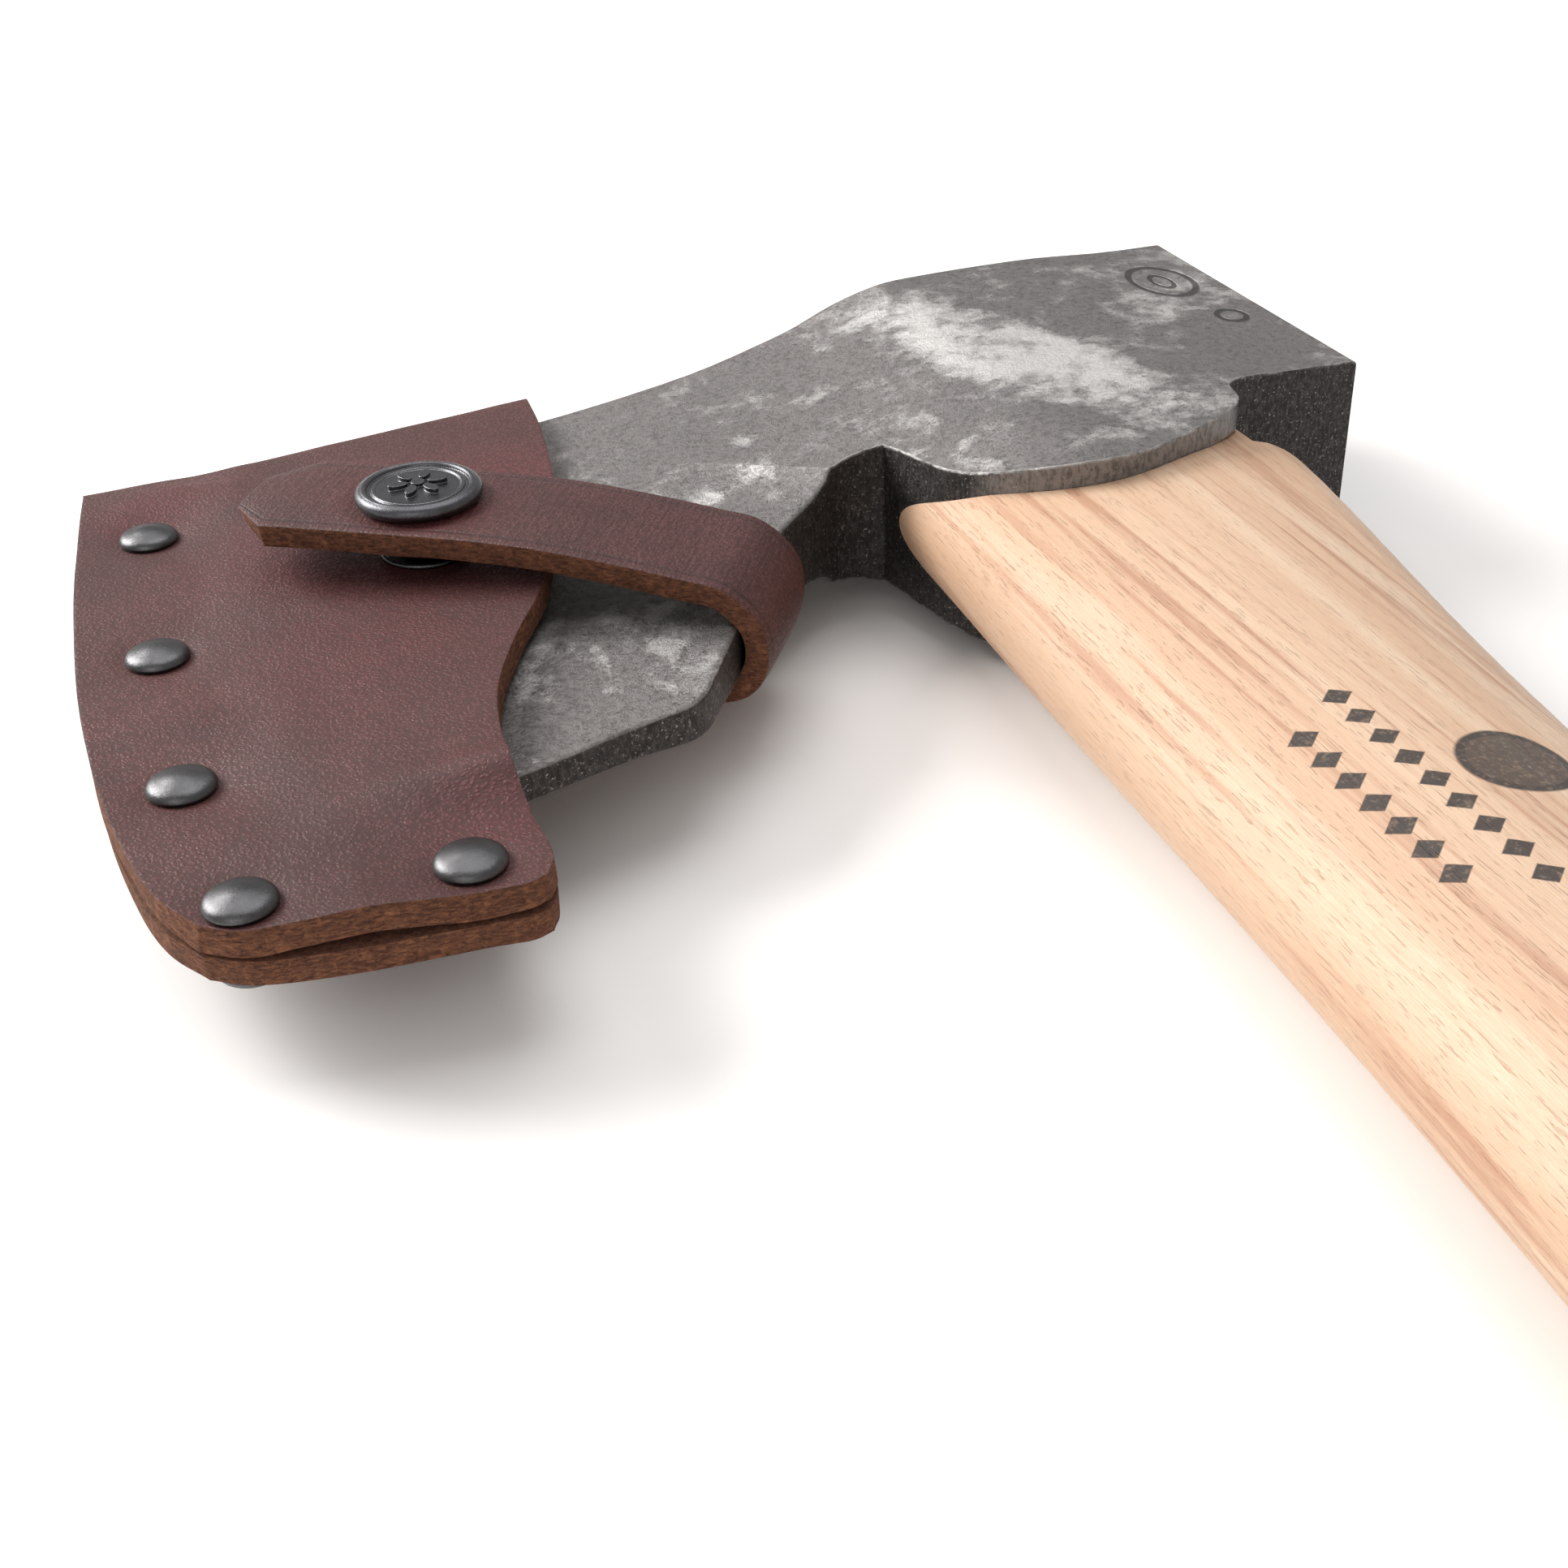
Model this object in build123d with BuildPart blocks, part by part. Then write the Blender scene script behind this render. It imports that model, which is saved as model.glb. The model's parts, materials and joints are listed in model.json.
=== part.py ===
from build123d import *
import math
import os

# A hatchet lying on its side with its leather blade cover on.
# X runs from the cutting edge to the poll, Y from the end of the handle to the top of the head, Z up.
# The origin is under the middle of the eye, on the flat lower cheek that the head lies on.

# ---------------------------------------------------------------- driving dimensions, millimetres
# head
CHEEK_HALF = 14.0          # half the thickness over the eye
MID = CHEEK_HALF           # height of the mid-plane that every piece is centred on
POLL_X = 41.0              # striking face of the poll
POLL_HALF = 13.2
POLL_LOW = -18.5           # lower corner of the poll
HEAD_TOP = 35.0            # top of the poll and the eye
NOTCH_X = -22.5            # the corner between the lugs and the throat
NOTCH_Y = -11.7
LUG_LOW = -36.0            # lowest point of the two lugs
THROAT_X = -46.3           # middle of the straight throat that the strap wraps round
THROAT_Y = -32.2
THROAT_ANGLE = 58.0        # direction of the throat in plan
THROAT_HALF = 4.1          # half thickness at the middle of the throat
BLADE_HALF = 4.4           # half thickness where the blade enters the cover
BLADE_THIN = 0.47          # half thickness that the blade has fallen to at the cutting edge
EDGE_X = -107.5            # foremost point of the cutting edge
EDGE_Y = -20.4
EDGE_RADIUS = 210.0
EDGE_FLAT = 0.2            # half thickness left at the cutting edge
BEVEL_SLOPE = 0.23
TOE_Y = 25.3
HEEL_Y = -64.5
BEARD_Y = -53.7            # lower edge of the beard behind the cover
EDGE_BREAK = 0.7           # worn edges of the forging
CHEEK_FROM = 20.0          # the flat cheek starts this far behind the notch
NECK = [                   # in front of the notch, and the share left of the step from cheek to blade
    (14.5, 0.94),
    (8.5, 0.79),
    (3.0, 0.60),
    (-2.5, 0.47),
    (-10.5, 0.31),
    (-19.5, 0.19),
]

# eye
EYE_BACK = 22.0
EYE_FRONT = -20.0
EYE_HALF = 10.6
EYE_NOSE = 3.2             # radius at the narrow front
EYE_CORNER = 5.0
EYE_FIT = 0.08             # the wood is driven in, so the gap is small
TENON_PROUD = 1.0
WEDGE_TOP = 4.4
WEDGE_TIP = 0.8
WEDGE_DEPTH = 40.0
WEDGE_FIT = 0.06

# handle
HANDLE_FRONT = -21.7       # front edge under the lugs
HANDLE_BACK = 28.0         # back edge under the lugs
HANDLE_HALF = 11.3         # half thickness under the lugs
HANDLE_END = -345.0
HANDLE_EDGE_R = 9.3        # radius of the front and back edges
GRIP_FRONT = -24.0
GRIP_BACK = 13.0
SWELL_FRONT = -28.0
SWELL_BACK = 19.5
SWELL_HALF = 13.6
BUTT_CHAMFER = 2.0

# leather
LEATHER = 2.8
PLAY = 0.35                # between the blade and the leather
SLIT = 0.4                 # between the two riveted layers
MOUTH_X = -60.0
FOLD_PLAY = 0.5
FRONT_MARGIN = 14.8        # leather in front of the cutting edge
LOW_MARGIN = 15.8          # leather below the heel
SEAM_CLEAR = 1.4           # from the cutting edge to the seam
HEEL_CLEAR = 0.6

# strap
STRAP_WIDTH = 19.0
STRAP_REACH = 62.0         # from the throat to the tip
STRAP_TIP_CUT = 5.0
BEND_GAP = 1.2             # between the throat and the strap
BEND_INNER = 3.0
FLAP_DROP = 3.4            # the front leg sinks from the snap to the throat
FLAP_LEVEL = 33.0          # level beyond this distance from the throat
BACK_RISE = 2.7            # the back leg rises from the cover to the throat
BACK_LEVEL = 22.0
BACK_REACH = 50.0          # from the throat to the end of the riveted back leg
BACK_CUT = 4.0

# seam rivets
RIVET_R = 3.6
RIVET_H = 1.9
RIVET_RIM = 0.45
RIVET_POST = 1.25
HOLE_FIT = 0.05
EDGE_RIVETS = [6.6, 5.8, 7.8, 8.9]            # from the cutting edge to each rivet in front of it
TOE_TO_RIVET = 14.8        # down from the toe to the first of them
HEEL_TO_RIVET = 13.6       # up from the heel to the third
HEEL_TO_LOW_RIVET = 9.0    # down from the heel to the fourth
MOUTH_TO_RIVET = 7.3       # the fifth, below the heel beside the mouth
LAST_RIVET_DROP = 10.4
STRAP_RIVET_REACH = [29.0, 43.0]
FLUSH_HEAD_R = 4.2
FLUSH_HEAD_T = 0.5

# press stud
SNAP_REACH = 40.5          # from the throat to the stud
SNAP_CAP_R = 7.5
SNAP_CAP_H = 2.2
SNAP_POST = 1.75
FLANGE_R = 5.5
FLANGE_T = 0.7
STUD_HEAD = 2.8
STUD_NECK = 2.35
STUD_H = 1.7
STUD_POST = 1.4
SOCKET_R = 5.8
SOCKET_BORE = 3.4
SOCKET_LIFT = 0.32         # between the socket and the stud's flange
SOCKET_H = 2.935           # from there to the underside of the strap
SPRING_WIRE = 0.25

# ---------------------------------------------------------------- places that follow from them
BLADE_FALL = (BLADE_HALF - BLADE_THIN) / (MOUTH_X - EDGE_X)   # loss of half thickness for each millimetre
SEAM_HALF = LEATHER + SLIT / 2
SHEATH_LEFT = EDGE_X - FRONT_MARGIN
SHEATH_LOW = HEEL_Y - LOW_MARGIN
MOUTH_LOW_X = MOUTH_X - 21.5
STRAIGHT_LOW = STRAP_WIDTH / 2 + 11.5      # the throat's straight run, either side of its middle
STRAIGHT_HIGH = STRAP_WIDTH / 2 + 1.5
TOWARDS_SNAP = math.radians(THROAT_ANGLE + 90.0)
STRAP_X = Vector(math.cos(TOWARDS_SNAP), math.sin(TOWARDS_SNAP), 0)
THROAT = Vector(THROAT_X, THROAT_Y, 0)
SNAP_SPOT = THROAT + STRAP_X * SNAP_REACH
STRAP_PLANE = Plane(origin=THROAT, x_dir=STRAP_X, z_dir=(0, 0, 1))
EDGE_CENTRE = (EDGE_X + EDGE_RADIUS, EDGE_Y)
REACH = 200.0              # longer than any piece that a profile is cut from
SIDE_PLANE = Plane(origin=(0, REACH / 2, MID), x_dir=(1, 0, 0), z_dir=(0, -1, 0))
TAPER_PLANE = Plane(origin=(0, 0, MID), x_dir=(-0.8, -0.6, 0), z_dir=(0.6, -0.8, 0)).offset(-REACH / 2)


def blade_half(x):
    """Half thickness of the blade at x, between the mouth of the cover and the bevel."""
    return BLADE_HALF + BLADE_FALL * (x - MOUTH_X)


def pocket_half(x):
    """Half the width of the space inside the cover."""
    return blade_half(x) + PLAY


def cover_half(x):
    """Half the width over the two leather panels."""
    return pocket_half(x) + LEATHER


def edge_x(y, beyond=0.0):
    """The cutting edge's curve, moved outwards by beyond."""
    radius = EDGE_RADIUS + beyond
    return EDGE_CENTRE[0] - math.sqrt(radius ** 2 - (y - EDGE_Y) ** 2)


def along_throat(distance):
    """A point on the straight throat, distance from its middle towards the notch."""
    angle = math.radians(THROAT_ANGLE)
    return (THROAT_X + distance * math.cos(angle), THROAT_Y + distance * math.sin(angle))


RIVET_YS = [TOE_Y - TOE_TO_RIVET, EDGE_Y - 1.5, HEEL_Y + HEEL_TO_RIVET, HEEL_Y - HEEL_TO_LOW_RIVET]
RIVET_SPOTS = [(edge_x(y, gap), y) for gap, y in zip(EDGE_RIVETS, RIVET_YS)]
RIVET_SPOTS.append((MOUTH_LOW_X - MOUTH_TO_RIVET, HEEL_Y - LAST_RIVET_DROP))

os.makedirs("parts", exist_ok=True)


# ---------------------------------------------------------------- forged head
def is_level(edge):
    """True for an edge that runs along the upper or lower face of the forging."""
    return abs((edge @ 1).Z - (edge @ 0).Z) < CHEEK_HALF / 2


def on_beard(edge):
    """True for the edges of the beard and the straight throat."""
    left, right = sorted([(edge @ 0).X, (edge @ 1).X])
    in_reach = left > EDGE_X + 20 and right < along_throat(STRAIGHT_HIGH)[0] + 1
    return in_reach and (edge @ 0.5).Y < THROAT_Y + 4 and is_level(edge)


def top_line(lift=0.0):
    """The head's top edge from the poll to past the toe."""
    level = Line((POLL_X, HEAD_TOP + lift), (EYE_BACK - 10, HEAD_TOP + lift))
    slope = Spline(
        level @ 1,
        (NOTCH_X + 0.5, HEAD_TOP - 4.2 + lift),
        (MOUTH_X + 14, TOE_Y + 1.2 + lift),
        (MOUTH_X - 12, TOE_Y - 0.6 + lift),
        (EDGE_X - 4, TOE_Y + lift),
        tangents=((-1, 0), (-1, 0)),
    )
    return slope @ 1


def head_outline(grow=0.0):
    """Plan of the forging without its eye, closed past the cutting edge."""
    upwards = (math.cos(math.radians(THROAT_ANGLE)), math.sin(math.radians(THROAT_ANGLE)))
    with BuildLine() as outline:
        toe = top_line(grow)
        heel = (EDGE_X - 4, HEEL_Y - grow)
        Line(toe, heel)
        belly = Spline(
            heel,
            (EDGE_X + 27, BEARD_Y - 5.4 - grow),
            (THROAT_X - 16.2, BEARD_Y - grow),
            tangents=((1, 0.35), (1, 0.18)),
        )
        corner = Spline(
            belly @ 1,
            (along_throat(-STRAIGHT_LOW)[0] + grow, along_throat(-STRAIGHT_LOW)[1]),
            tangents=((1, 0.18), upwards),
        )
        throat = Line(corner @ 1, (along_throat(STRAIGHT_HIGH)[0] + grow, along_throat(STRAIGHT_HIGH)[1]))
        notch = Spline(
            throat @ 1,
            (NOTCH_X - 10.5, NOTCH_Y - 3.7 - grow),
            (NOTCH_X - 5.5, NOTCH_Y - grow),
            (NOTCH_X, NOTCH_Y - grow),
            tangents=(upwards, (1, -0.3)),
        )
        lug = Spline(
            notch @ 1,
            (NOTCH_X + 4.8 - grow, LUG_LOW + 9.6 - grow),
            (NOTCH_X + 8.9, LUG_LOW + 5.0 - grow),
            (NOTCH_X + 19.0, LUG_LOW - grow),
            (EYE_BACK - 12.0, LUG_LOW + 3.9 - grow),
            (EYE_BACK - 2.0, POLL_LOW - 6.0 - grow),
            (EYE_BACK + 6.0, POLL_LOW - grow),
            tangents=((0.45, -1), (1, 0)),
        )
        Polyline(lug @ 1, (POLL_X, POLL_LOW - grow), (POLL_X, HEAD_TOP + grow))
    return outline.line


def eye_outline(gap=0.0):
    """The eye's section: blunt at the back, narrow at the front."""
    half = EYE_HALF - gap
    with BuildLine() as outline:
        back = Line((EYE_BACK - gap, 0), (EYE_BACK - gap, half - EYE_CORNER))
        corner = RadiusArc(back @ 1, (EYE_BACK - EYE_CORNER, half), -(EYE_CORNER - gap))
        side = Line(corner @ 1, (2.0, half))
        Spline(
            side @ 1,
            (EYE_FRONT + gap + EYE_NOSE * 1.4, EYE_NOSE * 1.45),
            (EYE_FRONT + gap, 0),
            tangents=((-1, 0), (0, -1)),
        )
        mirror(about=Plane.XZ)
    return outline.line


forging = head_outline()
with BuildPart() as solid_head:
    with BuildSketch():
        with BuildLine():
            add(forging)
        make_face()
    extrude(amount=2 * CHEEK_HALF)
    # thickness seen from above: full over the eye, hollow towards the blade
    with BuildSketch(SIDE_PLANE):
        with BuildLine():
            poll = Spline(
                (POLL_X + 1, POLL_HALF),
                (EYE_BACK + 7, POLL_HALF + 0.2),
                (EYE_BACK - 5, CHEEK_HALF),
                tangents=((-1, 0), (-1, 0)),
            )
            cheek = Line(poll @ 1, (NOTCH_X + CHEEK_FROM, CHEEK_HALF))
            Spline(
                cheek @ 1,
                *[(NOTCH_X + step, BLADE_HALF + share * (CHEEK_HALF - BLADE_HALF)) for step, share in NECK],
                (MOUTH_X, BLADE_HALF),
                (MOUTH_X - 20, blade_half(MOUTH_X - 20)),
                (MOUTH_X - 38, blade_half(MOUTH_X - 38)),
                (EDGE_X - 1, blade_half(EDGE_X - 1)),
                tangents=((-1, 0), (-1, -BLADE_FALL)),
            )
            Line((EDGE_X - 1, blade_half(EDGE_X - 1)), (EDGE_X - 1, 0))
            Line((POLL_X + 1, POLL_HALF), (POLL_X + 1, 0))
            mirror(about=Plane.XZ)
        make_face()
    extrude(amount=REACH, mode=Mode.INTERSECT)
    # the throat and the beard are thinner still, falling away towards the heel
    with BuildSketch(TAPER_PLANE):
        with BuildLine():
            thick = Polyline((-90, 0), (-90, CHEEK_HALF + 1), (30.6, CHEEK_HALF + 1), (31.2, 2 * THROAT_HALF))
            taper = Spline(
                thick @ 1,
                (33.5, THROAT_HALF * 1.60),
                (37.0, THROAT_HALF * 1.37),
                (46.0, THROAT_HALF * 1.17),
                (56.0, THROAT_HALF),
                (66.0, THROAT_HALF * 0.80),
                (75.0, THROAT_HALF * 0.65),
                (85.0, THROAT_HALF * 0.52),
                (100.0, THROAT_HALF * 0.46),
                (145.0, THROAT_HALF * 0.30),
            )
            Line(taper @ 1, (145, 0))
            mirror(about=Plane.XZ)
        make_face()
    extrude(amount=REACH, mode=Mode.INTERSECT)
    # the two bevels of the cutting edge
    with BuildSketch(Plane(origin=(*EDGE_CENTRE, MID), x_dir=(-1, 0, 0), z_dir=(0, 1, 0))):
        with BuildLine():
            peak = EDGE_FLAT + BEVEL_SLOPE * EDGE_RADIUS
            Polyline((0, peak), (EDGE_RADIUS, EDGE_FLAT), (EDGE_RADIUS, -EDGE_FLAT), (0, -peak), close=True)
        make_face()
    revolve(axis=Axis((*EDGE_CENTRE, MID), (0, 0, 1)), mode=Mode.INTERSECT)

eye = eye_outline()
with BuildPart() as axe_head:
    add(solid_head.part)
    with BuildSketch(SIDE_PLANE):
        with BuildLine():
            add(eye)
        make_face()
    extrude(amount=REACH, mode=Mode.SUBTRACT)
    fillet(axe_head.faces().sort_by(Axis.X)[-1].edges().filter_by(is_level), EDGE_BREAK)
    fillet(axe_head.edges().filter_by(on_beard), EDGE_BREAK)
axe_head.part.label = "axe_head"
export_step(axe_head.part, "parts/axe_head.step")


# ---------------------------------------------------------------- handle and its wedge
def oval(front, back, half, edge_radius):
    """Four tangent arcs: two flat sides and two round edges."""
    reach = (back - front) / 2
    centre = (front + back) / 2
    small = min(edge_radius, half - 0.6)
    side_radius = ((reach - small) ** 2 + half ** 2 - small ** 2) / (2 * (half - small))
    angle = math.atan2(side_radius - half, reach - small)
    touch_x = reach - small + small * math.cos(angle)
    touch_z = small * math.sin(angle)
    with BuildLine() as outline:
        ThreePointArc((centre - touch_x, touch_z), (centre, half), (centre + touch_x, touch_z))
        ThreePointArc((centre + touch_x, touch_z), (centre + reach, 0), (centre + touch_x, -touch_z))
        ThreePointArc((centre + touch_x, -touch_z), (centre, -half), (centre - touch_x, -touch_z))
        ThreePointArc((centre - touch_x, -touch_z), (centre - reach, 0), (centre - touch_x, touch_z))
    return outline.line


def handle_plane(y):
    return Plane(origin=(0, y, MID), x_dir=(1, 0, 0), z_dir=(0, -1, 0))


LENGTH_BELOW = LUG_LOW - HANDLE_END
STATIONS = [
    (NOTCH_Y + 1.0, HANDLE_FRONT, HANDLE_BACK + 1.0, HANDLE_HALF),
    (LUG_LOW, HANDLE_FRONT, HANDLE_BACK, HANDLE_HALF),
    (LUG_LOW - 0.13 * LENGTH_BELOW, HANDLE_FRONT - 0.8, HANDLE_BACK - 7.0, HANDLE_HALF + 0.3),
    (LUG_LOW - 0.34 * LENGTH_BELOW, HANDLE_FRONT - 2.3, GRIP_BACK + 2.0, HANDLE_HALF + 0.3),
    (LUG_LOW - 0.58 * LENGTH_BELOW, GRIP_FRONT, GRIP_BACK, HANDLE_HALF + 0.2),
    (LUG_LOW - 0.80 * LENGTH_BELOW, GRIP_FRONT + 2.2, GRIP_BACK + 2.0, HANDLE_HALF + 0.6),
    (LUG_LOW - 0.95 * LENGTH_BELOW, SWELL_FRONT, SWELL_BACK, SWELL_HALF),
    (HANDLE_END, SWELL_FRONT + 1.5, SWELL_BACK - 1.0, SWELL_HALF - 0.8),
]
station_outlines = [oval(front, back, half, HANDLE_EDGE_R) for y, front, back, half in STATIONS]
fitted_forging = head_outline(EYE_FIT)

with BuildPart() as grip_hull:
    for (station_y, *_), station in zip(STATIONS, station_outlines):
        with BuildSketch(handle_plane(station_y)):
            with BuildLine():
                add(station)
            make_face()
    loft()
    chamfer(grip_hull.faces().sort_by(Axis.Y)[0].edges(), BUTT_CHAMFER)

with BuildPart() as grip:
    add(grip_hull.part)
    # the lugs sit in the wood
    with BuildSketch():
        with BuildLine():
            add(fitted_forging)
        make_face()
    extrude(amount=2 * MID, mode=Mode.SUBTRACT)
    # round shoulder behind the lugs
    with BuildSketch():
        with BuildLine():
            Polyline(
                (EYE_BACK - 6, NOTCH_Y + 5),
                (EYE_BACK - 6, POLL_LOW - 9.5),
                (EYE_BACK, POLL_LOW - 10.5),
                (HANDLE_BACK - 1, POLL_LOW - 13.5),
                (HANDLE_BACK + 3, POLL_LOW - 19.5),
                (POLL_X, POLL_LOW - 19.5),
                (POLL_X, NOTCH_Y + 5),
                close=True,
            )
        make_face()
    extrude(amount=2 * MID, mode=Mode.SUBTRACT)

tenon_section = eye_outline(EYE_FIT)
with BuildPart() as lug_wood:
    # the wood between the two lugs
    with BuildSketch(handle_plane(LUG_LOW - 5)):
        with BuildLine():
            add(tenon_section)
        make_face()
    extrude(amount=LUG_LOW - 5 - STATIONS[0][0])
    add(grip_hull.part, mode=Mode.INTERSECT)

with BuildPart() as tenon:
    with BuildSketch(handle_plane(STATIONS[0][0])):
        with BuildLine():
            add(tenon_section)
        make_face()
    extrude(amount=STATIONS[0][0] - HEAD_TOP - 5)
    # the top of the wood follows the head and stands a little proud
    with BuildSketch():
        with BuildLine():
            crown = Spline(
                (EYE_BACK - 10, HEAD_TOP + TENON_PROUD),
                (NOTCH_X + 0.5, HEAD_TOP - 4.2 + TENON_PROUD),
                tangents=((-1, 0), (-1, -0.16)),
            )
            Polyline(
                crown @ 1,
                (NOTCH_X - 5, HEAD_TOP - 6 + TENON_PROUD),
                (NOTCH_X - 5, LUG_LOW - 30),
                (POLL_X, LUG_LOW - 30),
                (POLL_X, HEAD_TOP + TENON_PROUD),
                crown @ 0,
            )
        make_face()
    extrude(amount=2 * MID, mode=Mode.INTERSECT)

with BuildPart() as handle:
    add(tenon.part)
    # the saw kerf, opened by the wedge
    with BuildSketch(Plane(origin=(0, 0, MID), x_dir=(0, 1, 0), z_dir=(1, 0, 0))):
        with BuildLine():
            tip = HEAD_TOP - WEDGE_DEPTH
            end = HEAD_TOP + 10
            wide = WEDGE_TIP / 2 + (WEDGE_TOP - WEDGE_TIP) / 2 * (end - tip) / WEDGE_DEPTH
            Polyline((tip, -WEDGE_TIP / 2), (end, -wide), (end, wide), (tip, WEDGE_TIP / 2), close=True)
        make_face()
    extrude(amount=REACH, both=True, mode=Mode.SUBTRACT)
    add(grip.part)
    add(lug_wood.part)
handle.part.label = "handle"
export_step(handle.part, "parts/handle.step")

with BuildPart() as eye_wedge:
    add(tenon.part)
    with BuildSketch(Plane(origin=(0, 0, MID), x_dir=(0, 1, 0), z_dir=(1, 0, 0))):
        with BuildLine():
            thin = WEDGE_TIP / 2 - WEDGE_FIT
            thick = wide - WEDGE_FIT
            Polyline((tip + 1, -thin), (end, -thick), (end, thick), (tip + 1, thin), close=True)
        make_face()
    extrude(amount=REACH, both=True, mode=Mode.INTERSECT)
eye_wedge.part.label = "eye_wedge"
export_step(eye_wedge.part, "parts/eye_wedge.step")


# ---------------------------------------------------------------- leather blade cover
FOLD_INNER = TOE_Y + 0.7 + FOLD_PLAY
FOLD_Y = FOLD_INNER + LEATHER
POCKET_LOW = HEEL_Y - HEEL_CLEAR

with BuildPart() as blade_pocket:
    with BuildSketch(SIDE_PLANE):
        with BuildLine():
            near = MOUTH_X + 25
            far = EDGE_X - SEAM_CLEAR
            Polyline(
                (near, pocket_half(near)),
                (far, pocket_half(far)),
                (far, -pocket_half(far)),
                (near, -pocket_half(near)),
                close=True,
            )
        make_face()
    extrude(amount=REACH)
    with BuildSketch():
        with BuildLine():
            seam = ThreePointArc(
                (edge_x(FOLD_INNER, SEAM_CLEAR), FOLD_INNER),
                (EDGE_X - SEAM_CLEAR, EDGE_Y),
                (edge_x(POCKET_LOW, SEAM_CLEAR), POCKET_LOW),
            )
            Polyline(seam @ 1, (near, POCKET_LOW), (near, FOLD_INNER), seam @ 0)
        make_face()
    extrude(amount=2 * MID, mode=Mode.INTERSECT)

with BuildPart() as cover_body:
    # the bulge over the blade
    with BuildSketch(SIDE_PLANE):
        with BuildLine():
            Polyline(
                (near, cover_half(near)),
                (far, cover_half(far)),
                (far, -cover_half(far)),
                (near, -cover_half(near)),
                close=True,
            )
        make_face()
    extrude(amount=REACH)
    with BuildSketch():
        with BuildLine():
            seam = ThreePointArc(
                (edge_x(FOLD_Y, SEAM_CLEAR), FOLD_Y),
                (EDGE_X - SEAM_CLEAR, EDGE_Y),
                (edge_x(POCKET_LOW - LEATHER, SEAM_CLEAR), POCKET_LOW - LEATHER),
            )
            Polyline(seam @ 1, (near, POCKET_LOW - LEATHER), (near, FOLD_Y), seam @ 0)
        make_face()
    extrude(amount=2 * MID, mode=Mode.INTERSECT)
    # the riveted margin
    with BuildSketch(Plane.XY.offset(MID - SEAM_HALF)):
        with BuildLine():
            Polyline(
                (SHEATH_LEFT - 10, FOLD_Y),
                (SHEATH_LEFT - 10, SHEATH_LOW - 10),
                (near, SHEATH_LOW - 10),
                (near, FOLD_Y),
                close=True,
            )
        make_face()
    extrude(amount=2 * SEAM_HALF)
    add(blade_pocket.part, mode=Mode.SUBTRACT)
    # the two layers part below the fold and meet again under the rivets
    with BuildSketch(Plane.XY.offset(MID - SLIT / 2)):
        with BuildLine():
            Polyline(
                (SHEATH_LEFT - 20, FOLD_INNER),
                (SHEATH_LEFT - 20, SHEATH_LOW - 20),
                (near + 10, SHEATH_LOW - 20),
                (near + 10, FOLD_INNER),
                close=True,
            )
        make_face()
    extrude(amount=SLIT, mode=Mode.SUBTRACT)
    # the cut edge of the sheet
    with BuildSketch() as sheet:
        with BuildLine():
            mouth = Spline(
                (MOUTH_X + 0.5, FOLD_Y + 1),
                (MOUTH_X - 2.2, -1.0),
                (MOUTH_X - 10.0, -28.0),
                (MOUTH_X - 20.5, -48.0),
                (MOUTH_LOW_X, HEEL_Y),
                (MOUTH_LOW_X + 1.0, SHEATH_LOW + 6),
                tangents=((-0.03, -1), (0.1, -1)),
            )
            left = ThreePointArc(
                (SHEATH_LEFT + 3.3, FOLD_Y + 1),
                (SHEATH_LEFT, EDGE_Y - 6),
                (SHEATH_LEFT + 4.0, SHEATH_LOW + 15),
            )
            low_corner = (MOUTH_LOW_X, SHEATH_LOW - 0.5)
            Polyline(mouth @ 1, low_corner, (SHEATH_LEFT + 6.5, SHEATH_LOW + 2.3), left @ 1)
            Line(mouth @ 0, left @ 0)
        make_face()
        fillet(sheet.vertices().filter_by_position(Axis.Y, SHEATH_LOW - 0.6, SHEATH_LOW - 0.4), 3.5)
        fillet(sheet.vertices().filter_by_position(Axis.Y, SHEATH_LOW + 2.2, SHEATH_LOW + 2.4), 9.0)
    extrude(amount=2 * MID, mode=Mode.INTERSECT)


def panel_plane(x, y, side):
    """A plane on a leather panel over (x, y), facing outwards. side is 1 above and -1 below."""
    half = cover_half(x)
    return Plane(
        origin=(x, y, MID + side * half),
        x_dir=(1, 0, side * BLADE_FALL),
        z_dir=(-BLADE_FALL, 0, side),
    )


SNAP_X = SNAP_SPOT.X
SNAP_Y = SNAP_SPOT.Y
SEAT_Z = MID + cover_half(SNAP_X - FLANGE_R)        # the stud's flange is pressed into the leather
INNER_SEAT_Z = MID + pocket_half(SNAP_X + FLUSH_HEAD_R)
STUD_BASE = SEAT_Z + FLANGE_T
SOCKET_LOW = STUD_BASE + SOCKET_LIFT
FLAP_Z = SOCKET_LOW + SOCKET_H                      # underside of the strap's front leg
SNAP_AXIS = Plane(origin=(SNAP_X, SNAP_Y, 0), z_dir=(0, 0, 1))
SNAP_SECTION = Plane(origin=(SNAP_X, SNAP_Y, 0), x_dir=(1, 0, 0), z_dir=(0, -1, 0))
STRAP_RIVET_PLANES = []
for rivet_reach in STRAP_RIVET_REACH:
    spot = THROAT + STRAP_X * rivet_reach
    STRAP_RIVET_PLANES.append(panel_plane(spot.X, spot.Y, -1))

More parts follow.
